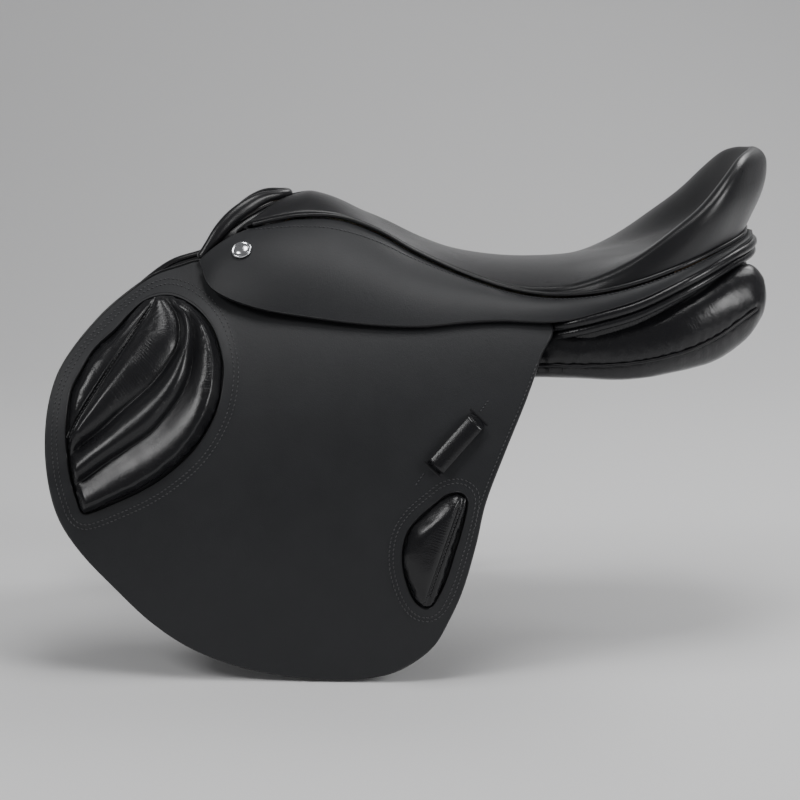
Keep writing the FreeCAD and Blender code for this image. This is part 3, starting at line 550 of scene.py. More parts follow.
# %% [markdown]
# ## Wood, steel, webbing and foam
# The tree is laminated beech with forged steel plates and bars. It shows only from
# below and from the front, but it is finished all the same. Nails and dee rings
# are polished. The grain of the wood runs with the rails.
# %% Other finishes
def steel(name, dark, light, rough, streak, depth):
    made = Finish(name, Metallic=1.0)
    drawn = made.node("ShaderNodeMapping", None, {"Vector": made.places, "Scale": (1.0, 0.12, 1.0)})
    marks = made.noise(streak, 4, 0.6, drawn)
    spots = made.noise(150, 3, 0.6)
    made.feed("Base Color", made.mix(spots, dark, light))
    made.feed("Roughness", (marks * 0.2 + spots * 0.15 + (rough - 0.17)).clipped())
    made.feed("Normal", made.bump(marks * 0.6 + spots * 0.4, depth))
    return made.material


def beech():
    made = Finish("varnished_beech", Coat_Weight=0.35, Coat_Roughness=0.2)
    drawn = made.node("ShaderNodeMapping", None, {"Vector": made.places, "Scale": (1.0, 0.08, 1.0)})
    rings = made.noise(160, 5, 0.6, drawn, 1.2)
    rays = made.noise(900, 2, 0.5, drawn)
    grain = (rings * 1.4 + rays * 0.4 - 0.45).clipped()
    made.feed("Base Color", made.mix(grain, (0.30, 0.16, 0.07), (0.62, 0.42, 0.24)))
    made.feed("Roughness", rings * 0.25 + 0.35)
    made.feed("Normal", made.bump(rings + rays * 0.5, 0.00015))
    return made.material


def webbing():
    made = Finish("linen_webbing", Roughness=0.85, Sheen_Weight=0.3)
    parts = made.tree.nodes.new("ShaderNodeSeparateXYZ")
    made.tree.links.new(made.places.socket, parts.inputs[0])
    across, along = Wire(made, parts.outputs[1]), Wire(made, parts.outputs[0]) + Wire(made, parts.outputs[2])
    weave = (across * 4200.0).math("SINE") * (along * 4200.0).math("SINE")
    made.feed("Base Color", made.mix((weave * 0.5 + 0.5).clipped(), (0.30, 0.26, 0.19), (0.62, 0.57, 0.46)))
    made.feed("Normal", made.bump(weave * 0.5 + 0.5, 0.0004))
    return made.material


def foam():
    made = Finish("latex_foam", Roughness=0.9, Subsurface_Weight=0.1)
    pits = made.cells(900)
    made.feed("Base Color", made.mix(pits, (0.50, 0.45, 0.32), (0.74, 0.70, 0.56)))
    made.feed("Normal", made.bump(pits, 0.0004))
    return made.material


FORGED = steel("forged_steel", (0.26, 0.26, 0.27), (0.45, 0.45, 0.47), 0.42, 500, 0.00012)
POLISHED = steel("polished_steel", (0.66, 0.67, 0.69), (0.80, 0.81, 0.83), 0.16, 900, 0.00002)
BEECH = beech()
WEBBING = webbing()
FOAM = foam()
CAD_FINISH = {"tree_head": BEECH, "tree_cantle": BEECH, "tree_rail": BEECH, "head_plate": FORGED,
              "gullet_plate": FORGED, "tree_rivets": FORGED, "bar_rivets": FORGED, "tree_spring": FORGED,
              "stirrup_bar": FORGED, "bar_catch": FORGED, "catch_pin": FORGED, "dee_ring": POLISHED,
              "dee_staple": POLISHED, "seat_web": WEBBING}
for name, node in nodes.items():
    stem = name.replace("_near", "").replace("_off", "")
    if stem in CAD_FINISH:
        node.data.materials.clear()
        node.data.materials.append(CAD_FINISH[stem])
print("finished", len(CAD_FINISH), "kinds of frame node")

# %% [markdown]
# ## Making pieces
# A piece is one mesh, in metres, with its place in its points. What has two sides
# is built on the near side, and a mirrored copy with its faces turned again is the
# off side. Leather that crosses a bend line stays where it is, attached to neither of its two bodies.
# %% Pieces
def add_piece(name, bm, materials, body, stands_for=(), flip=False, blend=None):
    """Makes one object from a shape in millimetres."""
    work = bm.copy()
    bmesh.ops.scale(work, vec=Vector((-MM if flip else MM, MM, MM)), verts=work.verts)
    if flip:
        bmesh.ops.reverse_faces(work, faces=work.faces)
    mesh = bpy.data.meshes.new(name)
    for face in work.faces:
        face.smooth = True
    work.to_mesh(mesh)
    work.free()
    for material in materials:
        mesh.materials.append(material)
    mesh.set_sharp_from_angle(angle=math.radians(50))
    obj = bpy.data.objects.new(name, mesh)
    scene.collection.objects.link(obj)
    if blend:
        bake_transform(obj)
    else:
        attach(obj, body)
    if stands_for:
        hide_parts(*stands_for)
    return obj


def add_pair(name, bm, materials, body, stands_for=(), blend=None):
    """The near piece and its mirror image on the off side."""
    for side, sign in SIDES:
        where = body if body == "tree" else body + "_" + side
        add_piece(name + "_" + side, bm, materials, where, [n + "_" + side for n in stands_for],
                  sign < 0, blend)
    print(name, len(bm.faces), "faces a side")
    bm.free()


def bend_zone(line, before, after):
    """Points just above and just below a bend line, at right angles to it."""
    a, b = Vector(line[0]), Vector(line[1])
    middle = (a + b) / 2
    down = Vector((skin(middle.y, middle.z - 3) - skin(middle.y, middle.z + 3), 0, -6))
    hinge = (b - a).normalized()
    down = (down - hinge * down.dot(hinge)).normalized()
    return middle - down * before, middle + down * after


print("pieces are made by add_piece and add_pair")

# %% [markdown]
# ## Flaps
# The flap is one big sheet of bridle leather with its edge rounded and dyed. Two
# windows are cut in it for the blocks, each with a rounded lip, a raised border
# and two rows of stitches. The sheet is cut from its outline with the windows as
# holes, laid on the horse's side, given its thickness, and then edged and stitched.
# It replaces the fixed head and the moving flap of the frame, and stays where it is,
# attached to neither.
# %% Flap
EDGE_ACROSS = 1.3
FLAP_CELL = 2.4
BORDER_RISE = 1.5
BORDER_REACH = 8.0
knee_loop = side_line(KNEE_WINDOW, 2.2, True)
thigh_loop = side_line(THIGH_WINDOW, 2.2, True)


def near_to(line):
    """Function that gives the distance from a place to a line in the side view."""
    fine = evenly(line, 0.7)
    tree = kdtree.KDTree(len(fine))
    for i, p in enumerate(fine):
        tree.insert((0, p.y, p.z), i)
    tree.balance()
    return lambda y, z: tree.find((0, y, z))[2]


def grown(loop, out):
    """Closed side-view loop moved outwards by a distance."""
    moved = []
    count = len(loop)
    area = sum(a.y * b.z - b.y * a.z for a, b in zip(loop, loop[1:] + loop[:1]))
    sign = 1 if area > 0 else -1
    for i, p in enumerate(loop):
        along = (loop[(i + 2) % count] - loop[i - 2]).normalized()
        moved.append(p + Vector((0, along.z, -along.y)) * sign * out)
    return moved


to_knee = near_to(knee_loop + knee_loop[:1])
to_thigh = near_to(thigh_loop + thigh_loop[:1])


def flap_rise(y, z):
    """How far the leather lifts as it is drawn over the edge of a block."""
    reach = min(to_knee(y, z), to_thigh(y, z))
    return BORDER_RISE * math.exp(-((reach / BORDER_REACH) ** 2))


flap_loop = side_line(FLAP_OUTLINE, 2.4, True)
flap = cut_sheet([flap_loop, knee_loop, thigh_loop], FLAP_CELL)
for v in flap.verts:
    v.co = side_point(v.co.y, v.co.z, flap_rise(v.co.y, v.co.z))
turn_out(flap)
flap = thick(flap, FLAP_T)
for loop in (flap_loop, knee_loop, thigh_loop):
    points = [side_point(p.y, p.z, flap_rise(p.y, p.z) - FLAP_T / 2) for p in loop]
    normals = [side_normal(p.y, p.z) for p in loop]
    join(flap, bead(points, normals, EDGE_ACROSS, FLAP_T / 2 + 0.12, True), 1)


BASE_SINK, BASE_T = 2.6, 1.6
for loop in (knee_loop, thigh_loop):   # the backing that the blocks are glued to
    base = cut_sheet([grown(loop, 0.8)], 6.0)
    for v in base.verts:
        v.co = side_point(v.co.y, v.co.z, -BASE_SINK)
    turn_out(base)
    join(flap, thick(base, BASE_T))


def flap_stitches(line, closed=False, pitch=STITCH_PITCH):
    spots = evenly(line, pitch, closed)
    spots = spots + spots[:1] if closed else spots
    stitches(flap, [side_point(p.y, p.z, flap_rise(p.y, p.z)) for p in spots],
             [side_normal(p.y, p.z) for p in spots], 2, pitch)


to_rim = near_to(flap_loop + flap_loop[:1])
for window, gaps in ((knee_loop, (7.5, 11.0)), (thigh_loop, (6.5, 9.6))):
    for gap, share in zip(gaps, (0.45, 0.70)):
        outs = [min(gap, share * to_rim(p.y, p.z)) for p in window]
        ring = [p + (q - p) * out for p, q, out in zip(window, grown(window, 1.0), outs)]
        flap_stitches(evenly(ring, 2.0, True), True)
print("flap faces", len(flap.faces))

# %% [markdown]
# The rear edge of the flap has one more row of stitches, and the strap keeper's
# ends go into two short slots with a few stitches past each.
# %% Flap edge stitches
rear_edge = [(27, 12), (15, -17), (-2, -56), (-16, -92), (-20, -110)]
flap_stitches(side_line(rear_edge, 2.0))
for ends in (((-10, -15), (-17, -24)), ((-59, -69), (-66, -79))):
    flap_stitches(side_line(ends, 1.0), pitch=2.8)
add_pair("flap_leather", flap, [BRIDLE, EDGE_DYE, THREAD], "flap",
         ["flap_head", "flap"], blend=bend_zone(FLAP_BEND, 14, 3))

# %% [markdown]
# ## Stuffing
# A stuffed piece starts as a closed shape that is a little too small. It is
# remeshed evenly and blown up as cloth, so that the leather finds its own tension,
# and no point may move further than a cap. Creases are pressed in afterwards.
# %% Cloth simulation
SIM_FRAMES = 20


def stuffed(bm, voxel, cap, refine, pressure=4.0):
    """The shape in soft leather, blown up round its stuffing."""
    bmesh.ops.scale(bm, vec=Vector((MM, MM, MM)), verts=bm.verts)
    bmesh.ops.recalc_face_normals(bm, faces=bm.faces)
    bm = with_modifiers(bm, ("REMESH", {"mode": "VOXEL", "voxel_size": voxel * MM}))
    mesh = bpy.data.meshes.new("pad")
    bm.to_mesh(mesh)
    pad = bpy.data.objects.new("pad", mesh)
    scene.collection.objects.link(pad)
    cloth = pad.modifiers.new("Cloth", "CLOTH")
    cloth.settings.quality = 5
    cloth.settings.mass = 0.3
    cloth.settings.use_pressure = True
    cloth.settings.uniform_pressure_force = pressure
    cloth.settings.effector_weights.gravity = 0
    cloth.point_cache.frame_start, cloth.point_cache.frame_end = 1, SIM_FRAMES
    for step in range(1, SIM_FRAMES + 1):
        scene.frame_set(step)
    blown = pad.evaluated_get(bpy.context.evaluated_depsgraph_get()).to_mesh()
    moved = [v.co.copy() for v in blown.vertices]
    scene.frame_set(1)
    bm.verts.ensure_lookup_table()
    for v, to in zip(bm.verts, moved):
        shift = to - v.co
        if shift.length > cap * MM:
            shift = shift.normalized() * cap * MM
        v.co += shift
    bpy.data.objects.remove(pad)
    bpy.data.meshes.remove(mesh)
    bmesh.ops.smooth_vert(bm, verts=bm.verts, factor=0.5, use_axis_x=True, use_axis_y=True, use_axis_z=True)
    if refine:
        bm = with_modifiers(bm, ("SUBSURF", {"levels": refine, "render_levels": refine}))
    bmesh.ops.scale(bm, vec=Vector((1 / MM, 1 / MM, 1 / MM)), verts=bm.verts)
    return bm


def step_up(t):
    t = min(max(t, 0.0), 1.0)
    return t * t * (3 - 2 * t)


def fold_layer(bm):
    return bm.verts.layers.float_vector.get("fold") or bm.verts.layers.float_vector.new("fold")


print("cloth pads run for", SIM_FRAMES, "frames")

# %% [markdown]
# ## Knee blocks
# The knee block is foam under soft leather that is sewn in overlapping lobes. The
# lobes fan out from the top of the window, and each rolls over into a deep crease.
# The crease lines are side-view curves. A point's place between two of them gives
# its height, so every lobe rises, rolls over and drops.
# %% Knee block
KNEE_SEAM = [(-270, 66), (-277, 49), (-287, 33), (-298, 16), (-308, 0), (-318, -16), (-328, -33),
             (-336, -51), (-346, -72)]
KNEE_CREASES = [
    KNEE_SEAM,
    [(-266, 66), (-264, 54), (-256, 44), (-252, 33), (-253, 21), (-260, 9), (-270, -4), (-282, -15),
     (-296, -27), (-310, -40), (-324, -51), (-334, -60), (-350, -72)],
    [(-262, 66), (-258, 52), (-247, 44), (-241, 32), (-240, 18), (-242, 1), (-248, -14), (-258, -28),
     (-270, -41), (-286, -52), (-303, -63), (-317, -73), (-329, -81), (-345, -92)],
    [(-258, 64), (-250, 54), (-236, 45), (-225, 33), (-218, 17), (-215, 1), (-218, -22), (-227, -42),
     (-240, -59), (-259, -75), (-277, -86), (-299, -96), (-318, -104), (-335, -112)],
]
KNEE_LEFT = [(-272, 66), (-285, 52), (-304, 33), (-319, 19), (-329, 2), (-335, -11), (-339, -30),
             (-341, -50), (-345, -80)]
LOBES = [(0.5, 2.5), (0.45, 9.0), (0.66, 8.5), (0.74, 7.5)]   # where each lobe is highest, and how high
BLOCK_BACK = 4.0
BLOCK_FACE = 0.6
BLOCK_GAP = 0.3


class Crease:
    """A side-view line that can say how far a place is from it, on which side, and how far along."""

    def __init__(self, points):
        self.line = side_line(points, 1.0)
        self.tree = kdtree.KDTree(len(self.line))
        for i, p in enumerate(self.line):
            self.tree.insert((0, p.y, p.z), i)
        self.tree.balance()

    def look(self, y, z):
        _, i, away = self.tree.find((0, y, z))
        a, b = self.line[max(i - 1, 0)], self.line[min(i + 1, len(self.line) - 1)]
        side = (b.y - a.y) * (z - a.z) - (b.z - a.z) * (y - a.y)
        return (away if side > 0 else -away), float(i)


def block_shape(loop, face, back):
    """Closed slab inside a loop, from behind the leather to just above it."""
    bm = cut_sheet([loop], 4.0)
    for v in bm.verts:
        v.co = side_point(v.co.y, v.co.z, face)
    turn_out(bm)
    return thick(bm, face + back)


def lobe_height(t, crest):
    if t < crest:
        return math.sin(math.pi / 2 * t / crest) ** 1.2
    return max(math.cos(math.pi / 2 * (t - crest) / (1 - crest)), 0.0) ** 0.75


left_line = Crease(KNEE_LEFT)
creases = [Crease(points) for points in KNEE_CREASES]
knee_edge = grown(knee_loop, -BLOCK_GAP)
knee = stuffed(block_shape(knee_edge, BLOCK_FACE, BLOCK_BACK), 2.5, 3.0, 2)
knee.normal_update()
layer = fold_layer(knee)
to_edge = near_to(knee_edge + knee_edge[:1])
for v in knee.verts:
    y, z = v.co.y, v.co.z
    facing = step_up((v.normal.dot(side_normal(y, z)) - 0.1) / 0.5)
    looks = [left_line.look(y, z)] + [crease.look(y, z) for crease in creases]
    lobe = 0
    while lobe < 3 and looks[lobe + 1][0] > 0:
        lobe += 1
    d0, d1 = abs(looks[lobe][0]), abs(looks[lobe + 1][0])
    t = d0 / max(d0 + d1, 1e-6)
    crest, high = LOBES[lobe]
    away = to_edge(y, z)
    wide = min((d0 + d1) / 14.0, 1.0)
    height = lobe_height(t, crest) * high * wide * step_up(away / 9.0 + 0.05)
    if lobe < 2:
        height -= 0.8 * math.exp(-((looks[1][0] / 0.9) ** 2))
    v.co += side_normal(y, z) * height * facing
    pull = step_up(away / 6.0) * (1 - abs(2 * t - 1) ** 3)
    v[layer] = Vector((looks[lobe + 1][1], t * 10.0, pull * (0.2 if lobe == 0 else 0.6)))
bmesh.ops.smooth_vert(knee, verts=knee.verts, factor=0.5, use_axis_x=True, use_axis_y=True, use_axis_z=True)
print("knee block", len(knee.faces), "faces")

# %% [markdown]
# A row of stitches, with a thin raised piping on each side of it, runs down
# the seam between the flat first lobe and the second. These go on as their own
# beads of leather and thread, over the finished pad.
# %% Knee block seam
def on_pad(pad, y, z):
    """Point and normal of a pad's outer face, looked for along the side's normal."""
    normal = side_normal(y, z)
    hit = pad.ray_cast(side_point(y, z, 30.0), Vector((-1, 0, 0)))
    return (hit[0], hit[1]) if hit[0] else (side_point(y, z, 1.0), normal)


seam_line = side_line([(-276, 50)] + KNEE_SEAM[2:7] + [(-334, -47)], 2.0)
tree = BVHTree.FromBMesh(knee)
for shift in (-1.9, 1.9):
    spots = [on_pad(tree, p.y + shift * 0.86, p.z - shift * 0.5) for p in seam_line]
    join(knee, bead([s[0] for s in spots], [s[1] for s in spots], 0.8, 0.7))
spots = [on_pad(tree, p.y, p.z) for p in evenly(seam_line, 3.0)]
stitches(knee, [s[0] for s in spots], [s[1] for s in spots], 1, 3.0)
add_pair("knee_pad", knee, [SOFT_CALF, THREAD], "flap", ["knee_block"])

# %% [markdown]
# ## Thigh blocks
# The small block behind the leg is one lobe with a seam down its middle. It is
# made in the same way, and pinched along the seam.
# %% Thigh block
THIGH_SEAM = [(-22, -72), (-30, -90), (-36, -108), (-43, -128), (-50, -148), (-57, -170), (-62, -184)]
THIGH_HIGH = 6.5
thigh_edge = grown(thigh_loop, -BLOCK_GAP)
thigh = stuffed(block_shape(thigh_edge, BLOCK_FACE, BLOCK_BACK), 3.0, 3.0, 2)
thigh.normal_update()
layer = fold_layer(thigh)
to_edge = near_to(thigh_edge + thigh_edge[:1])
seam = Crease(THIGH_SEAM)
for v in thigh.verts:
    y, z = v.co.y, v.co.z
    facing = step_up((v.normal.dot(side_normal(y, z)) - 0.1) / 0.5)
    away, (across, along) = to_edge(y, z), seam.look(y, z)
    height = THIGH_HIGH * math.sin(math.pi / 2 * min(away / 15.0, 1.0)) ** 0.9
    height -= 1.8 * math.exp(-((across / 2.2) ** 2)) * step_up(away / 5)
    v.co += side_normal(y, z) * height * facing
    v[layer] = Vector((along, across, 0.75 * step_up(away / 5) * math.exp(-((across / 9.0) ** 2))))
tree = BVHTree.FromBMesh(thigh)
thigh_seam_line = side_line([(-31, -94), (-36, -108), (-43, -128), (-50, -148), (-55, -163)], 2.0)
for shift in (-1.3, 1.3):
    spots = [on_pad(tree, p.y + shift, p.z) for p in thigh_seam_line]
    join(thigh, bead([s[0] for s in spots], [s[1] for s in spots], 0.7, 0.6), 0)
spots = [on_pad(tree, p.y, p.z) for p in evenly(thigh_seam_line, 3.0)]
stitches(thigh, [s[0] for s in spots], [s[1] for s in spots], 1, 3.0)
add_pair("thigh_pad", thigh, [SOFT_CALF, THREAD], "flap", ["thigh_block"])

# %% [markdown]
# ## Strap keeper
# A short soft strap bridges a gap on the flap, for the end of a surcingle. Both
# ends dive through slots in the flap. It is a strip bent over an arch, thickened,
# with rounded edges, and a dark slot bead at each end.
# %% Keeper
KEEPER_LENGTH, KEEPER_W, KEEPER_T, KEEPER_ROOM = 52.0, 14.0, 2.6, 6.6
KEEPER_DIVE = 6.0


def keeper_place(u, w):
    """The strip's outer face: u across it, w along it."""
    turn = math.radians(KEEPER_ANGLE)
    along = (w - 0.5) * KEEPER_LENGTH
    across = (u - 0.5) * KEEPER_W
    end = KEEPER_LENGTH / 2 - abs(along)
    high = (KEEPER_ROOM + KEEPER_T) * step_up((end + 1.0) / KEEPER_DIVE) - 1.0
    crown = -2.0 * (2 * u - 1) ** 2
    y = KEEPER_AT[0] + along * math.cos(turn) - across * math.sin(turn)
    z = KEEPER_AT[1] + along * math.sin(turn) + across * math.cos(turn)
    return side_point(y, z, high + crown)


keeper = patch(12, 60, keeper_place)
turn_out(keeper)
layer = fold_layer(keeper)
for v in keeper.verts:
    v[layer] = Vector((v.co.z, v.co.y, 0.3))
keeper = rounded(thick(keeper, KEEPER_T), 0.9, 3)
for end in (-1, 1):
    turn = math.radians(KEEPER_ANGLE)
    spots = []
    for k in range(15):
        across = (k / 14 - 0.5) * (KEEPER_W + 3)
        y = KEEPER_AT[0] + end * (KEEPER_LENGTH / 2 + 0.4) * math.cos(turn) - across * math.sin(turn)
        z = KEEPER_AT[1] + end * (KEEPER_LENGTH / 2 + 0.4) * math.sin(turn) + across * math.cos(turn)
        spots.append((side_point(y, z, 0.1), side_normal(y, z)))
    join(keeper, bead([s[0] for s in spots], [s[1] for s in spots], 1.1, 0.5), 1)
add_pair("keeper_leather", keeper, [SOFT_CALF, EDGE_DYE], "flap", ["keeper"])

# %% [markdown]
# ## Skirts
# The skirt hides the stirrup bar. It is sewn under the welt and hangs over the top
# of the flap, a little proud of it. Its face is a strip between two smooth rails,
# bulged outwards. It covers the lobe over the bar too, and stays where it is, attached to neither body.
# %% Skirt
def skirt_low():
    points = []
    for i, point in enumerate(SKIRT_EDGE):
        if len(point) == 2:
            place = side_point(point[0], point[1], SKIRT_STAND[i])
            point = (place.x, place.y, place.z)
        points.append(point)
    return points


skirt_top_rail = rail(moved_out(WELT, 1.5, -4))
skirt_low_rail = rail(skirt_low())


def skirt_place(u, w):
    """The skirt's outer face: u from the welt down, w from front to back."""
    top, low = skirt_top_rail(w), skirt_low_rail(w)
    step = 0.01
    ahead = skirt_top_rail(w + step) - skirt_top_rail(w - step)
    ahead = ahead + skirt_low_rail(w + step) - skirt_low_rail(w - step)
    out = (low - top).cross(ahead).normalized()
    return top.lerp(low, u) + out * (4 * SKIRT_BULGE * (low - top).length * u * (1 - u))


def normal_of(place, u, w, step=0.004):
    lean = (place(min(u + step, 1), w) - place(max(u - step, 0), w))
    run = (place(u, min(w + step, 1)) - place(u, max(w - step, 0)))
    normal = lean.cross(run)
    return normal.normalized()


SEAM_DOWN, SEAM_START, SEAM_RUN = 0.13, 0.03, 0.93     # the stitched seam below the welt


def seam_along(k):
    return SEAM_START + SEAM_RUN * k / 500


skirt = patch(26, 150, skirt_place)
turn_out(skirt)
skirt = thick(skirt, SKIRT_T)
border = [(k / 24, 0.0) for k in range(24)] + [(1.0, k / 170) for k in range(168)]
normals = [normal_of(skirt_place, u, w) for u, w in border]
points = [skirt_place(u, w) - n * SKIRT_T / 2 for (u, w), n in zip(border, normals)]
line = evenly(points, 2.0)
tree = kdtree.KDTree(len(points))
for i, p in enumerate(points):
    tree.insert(p, i)
tree.balance()
join(skirt, bead(line, [normals[tree.find(p)[1]] for p in line], 1.2, SKIRT_T / 2 + 0.1), 1)
dense = [skirt_place(SEAM_DOWN, seam_along(k)) for k in range(501)]
spots = evenly(dense, STITCH_PITCH)
find = kdtree.KDTree(len(dense))
for i, p in enumerate(dense):
    find.insert(p, i)
find.balance()
normals = [normal_of(skirt_place, SEAM_DOWN, seam_along(find.find(p)[1])) for p in spots]
stitches(skirt, spots, normals, 2)
add_pair("skirt_leather", skirt, [BRIDLE, EDGE_DYE, THREAD], "skirt",
         ["skirt", "skirt_lobe"], blend=bend_zone(SKIRT_BEND, 12, 8))

# %% [markdown]
# ## Seat
# The seat is calf drawn over foam: a dish that rises to the cantle behind and a
# narrow twist in front. Its leather rolls over the rim and runs down the side as
# the facing to the welt. Each section runs from the centre line, over the rim, to
# the foot, and the sections fan round the back. Half is built and mirrored.
# %% Seat
SEAT_C = [-160, -148, -135, -118, -95, -69, -40, -15, 0, 22, 45, 66, 88, 112, 132, 145, 157, 166, 174,
          180, 185]
FACING_START_Y = 115.0
FOOT_DROP = 2.5
ROLL_FRONT, ROLL_REAR = 6.0, 14.0
RIM_OUT = 7.0
RIM_LIFT = [(50, 0), (100, 6), (131, 11), (155, 13), (175, 15), (186, 16), (196, 14), (204, 10), (209, 6)]
TOP_SHARE, ROLL_SHARE = 0.58, 0.22
TUCK = 0.03
SEAT_PASSES = 8

welt_table = [(y, x, z) for x, y, z in WELT]
foot_rows = []
shrink = (WELT[-1][1] - FACING_START_Y) / (SEAT_EDGE[-1][0] - FACING_START_Y)
for y, half, z in SEAT_EDGE:
    at = y if y < FACING_START_Y else FACING_START_Y + (y - FACING_START_Y) * shrink
    foot_rows.append((smooth(welt_table, at), at, smooth(welt_table, at, 2) - FOOT_DROP))
foot_rows[-1] = (0, WELT[-1][1], WELT[-1][2] - FOOT_DROP)
rim_rail = rail([(half, y, z) for y, half, z in SEAT_EDGE])
foot_rail = rail(foot_rows)
centre_rail = rail([(0, y, 0) for y in SEAT_C])


def seat_place(u, w):
    """The seat's outer face: u from the centre line over the rim to the foot."""
    tuck = max(TUCK - w, 0.0) / TUCK
    w = max(w - TUCK, 0.0) / (1 - TUCK)
    rim, foot, centre = rim_rail(w), foot_rail(w), centre_rail(w)
    flat = Vector((rim.x - centre.x, rim.y - centre.y, 0))
    out = flat.normalized()
    behind = step_up((rim.y - 105) / 80)
    lift = smooth(RIM_LIFT, rim.y)
    wide = flat.length + RIM_OUT * behind
    edge = Vector((rim.x, rim.y, 0)) + out * RIM_OUT * behind
    roll = ROLL_FRONT + (ROLL_REAR - ROLL_FRONT) * behind
    roll = min(roll, 0.5 * max((rim - foot).length, 2.0), wide * 0.45)
    if u <= TOP_SHARE:
        share = u / TOP_SHARE
        spot = edge - out * (wide - (wide - roll) * share)
        spot.z = seat_top(spot.x, spot.y) + lift * step_up(share * 1.6 - 0.6)
    else:
        turn = min((u - TOP_SHARE) / ROLL_SHARE, 1.0) * math.pi / 2
        start = edge - out * roll
        spot = start + out * roll * math.sin(turn)
        slope = seat_top(spot.x, spot.y) - seat_top(start.x, start.y)
        spot.z = seat_top(start.x, start.y) + slope * (1 - behind) + lift - roll * (1 - math.cos(turn))
        if u > TOP_SHARE + ROLL_SHARE:
            share = (u - TOP_SHARE - ROLL_SHARE) / (1 - TOP_SHARE - ROLL_SHARE)
            start = spot.copy()
            bulge = out * (0.22 + 0.2 * behind) * (start - foot).length * share * (1 - share) ** 1.5
            spot = start.lerp(foot, share) + bulge
    spot += Vector((0, -7, -6)) * tuck * tuck
    return spot


seat_rows = 150
seat = patch(60, seat_rows, seat_place)
for v in seat.verts:
    if abs(v.co.x) < 0.01:
        v.co.x = 0.0
bmesh.ops.mirror(seat, geom=seat.verts[:] + seat.edges[:] + seat.faces[:], axis="X", merge_dist=0.01)
bmesh.ops.remove_doubles(seat, verts=seat.verts, dist=0.01)
for _ in range(SEAT_PASSES):
    bmesh.ops.smooth_vert(seat, verts=[v for v in seat.verts if not v.is_boundary], factor=0.5,
                          use_axis_x=True, use_axis_y=True, use_axis_z=True)
turn_out(seat, Vector((0, 0, 1)))
seat = thick(seat, COVER_T)
add_piece("seat_leather", seat, [SEAT_CALF, THREAD], "tree",
          ["seat_cover", "cantle_facing"])
print("seat faces", len(seat.faces))
seat.free()

# %% [markdown]
# Under the leather is a layer of foam, which is seen only through the arch from
# below. It is a sheet that follows the seat, inset from its edge.
# %% Seat foam
FOAM_INSET, FOAM_TOP, FOAM_BOTTOM = 13.0, 3.6, 11.2


def foam_place(u, w):
    rim, centre = rim_rail(0.04 + 0.9 * w), centre_rail(0.04 + 0.9 * w)
    wide = Vector((rim.x - centre.x, rim.y - centre.y, 0))
    reach = max(wide.length - FOAM_INSET, 0.0)
    side = abs(2 * u - 1)
    spot = Vector((0, centre.y, 0)) + wide.normalized() * reach * side
    if u < 0.5:
        spot.x = -spot.x
    spot.z = seat_top(spot.x, spot.y) - FOAM_TOP - 1.5
    return spot


pad = patch(30, 60, foam_place)
turn_out(pad, Vector((0, 0, 1)))
pad = thick(pad, FOAM_BOTTOM - FOAM_TOP - 1.5, False)
add_piece("seat_padding", pad, [FOAM], "tree", ["seat_foam"])
pad.free()

# %% [markdown]
# ## Welt
# A thin piping is sewn between the seat and the skirt.
# %% Welt
WELT_R = 1.7
welt_line = evenly(curve_through(moved_out(WELT, 1.4, -1.2)), 1.6)


def welt_spots(line):
    normals = []
    for i, p in enumerate(line):
        along = line[min(i + 1, len(line) - 1)] - line[max(i - 1, 0)]
        normals.append(Vector((along.y, -along.x, 0)).normalized())
    return normals


welt = bead(welt_line, welt_spots(welt_line), WELT_R, WELT_R, ring=10)
add_pair("welt_piping", welt, [SEAT_CALF], "tree", ["welt"])

# %% [markdown]
# ## Rolls
# A thick roll finishes the pommel, and two thinner ones run round the back between
# the skirt and the panel. Each is an oval section that follows the middle of its
# two edges. A flat strip behind the rear rolls closes the gap to the tree, and
# another lies under the pommel roll.
# %% Rolls
def both_sides(points):
    return list(points) + [(-x, y, z) for x, y, z in reversed(points) if x > 0]


def roll_piece(name, upper, lower, half_thick, material, stands_for, inward, ripple, fold):
    """Stuffed roll between two edges; it lies `inward` of them."""
    top, low = rail(both_sides(upper)), rail(both_sides(lower))
    step = 0.004

    def place(u, w):
        a, b = top(w), low(w)
        ahead = (top(w + step) - top(w - step) + low(w + step) - low(w - step)).normalized()
        down = (b - a)
        down -= ahead * down.dot(ahead)
        out = down.cross(ahead).normalized()
        half = down.length / 2
        end = min(w, 1 - w) / 0.012
        shut = math.sqrt(max(1 - max(1 - end, 0) ** 2, 0.0))
        turn = 2 * math.pi * u
        middle = (a + b) / 2 - out * inward
        wave = 1 + ripple * math.sin(w * 330 + 2.0 * math.sin(w * 61) + 1.5 * math.cos(turn))
        return (middle + down.normalized() * (half * math.cos(turn) * shut)
                + out * (half_thick * math.sin(turn) * shut * wave))

    bm = patch(16, 260, place)
    bmesh.ops.recalc_face_normals(bm, faces=bm.faces)
    layer = fold_layer(bm)
    total = sum((Vector(b) - Vector(a)).length for a, b in zip(upper, upper[1:])) * 2
    for v in bm.verts:
        v[layer] = Vector((v.co.x * 0.9 - v.co.y * 0.9, v.co.z, fold))
    obj = add_piece(name, bm, [material], "tree", stands_for)
    print(name, "%.0f mm long" % total)
    bm.free()
    return obj


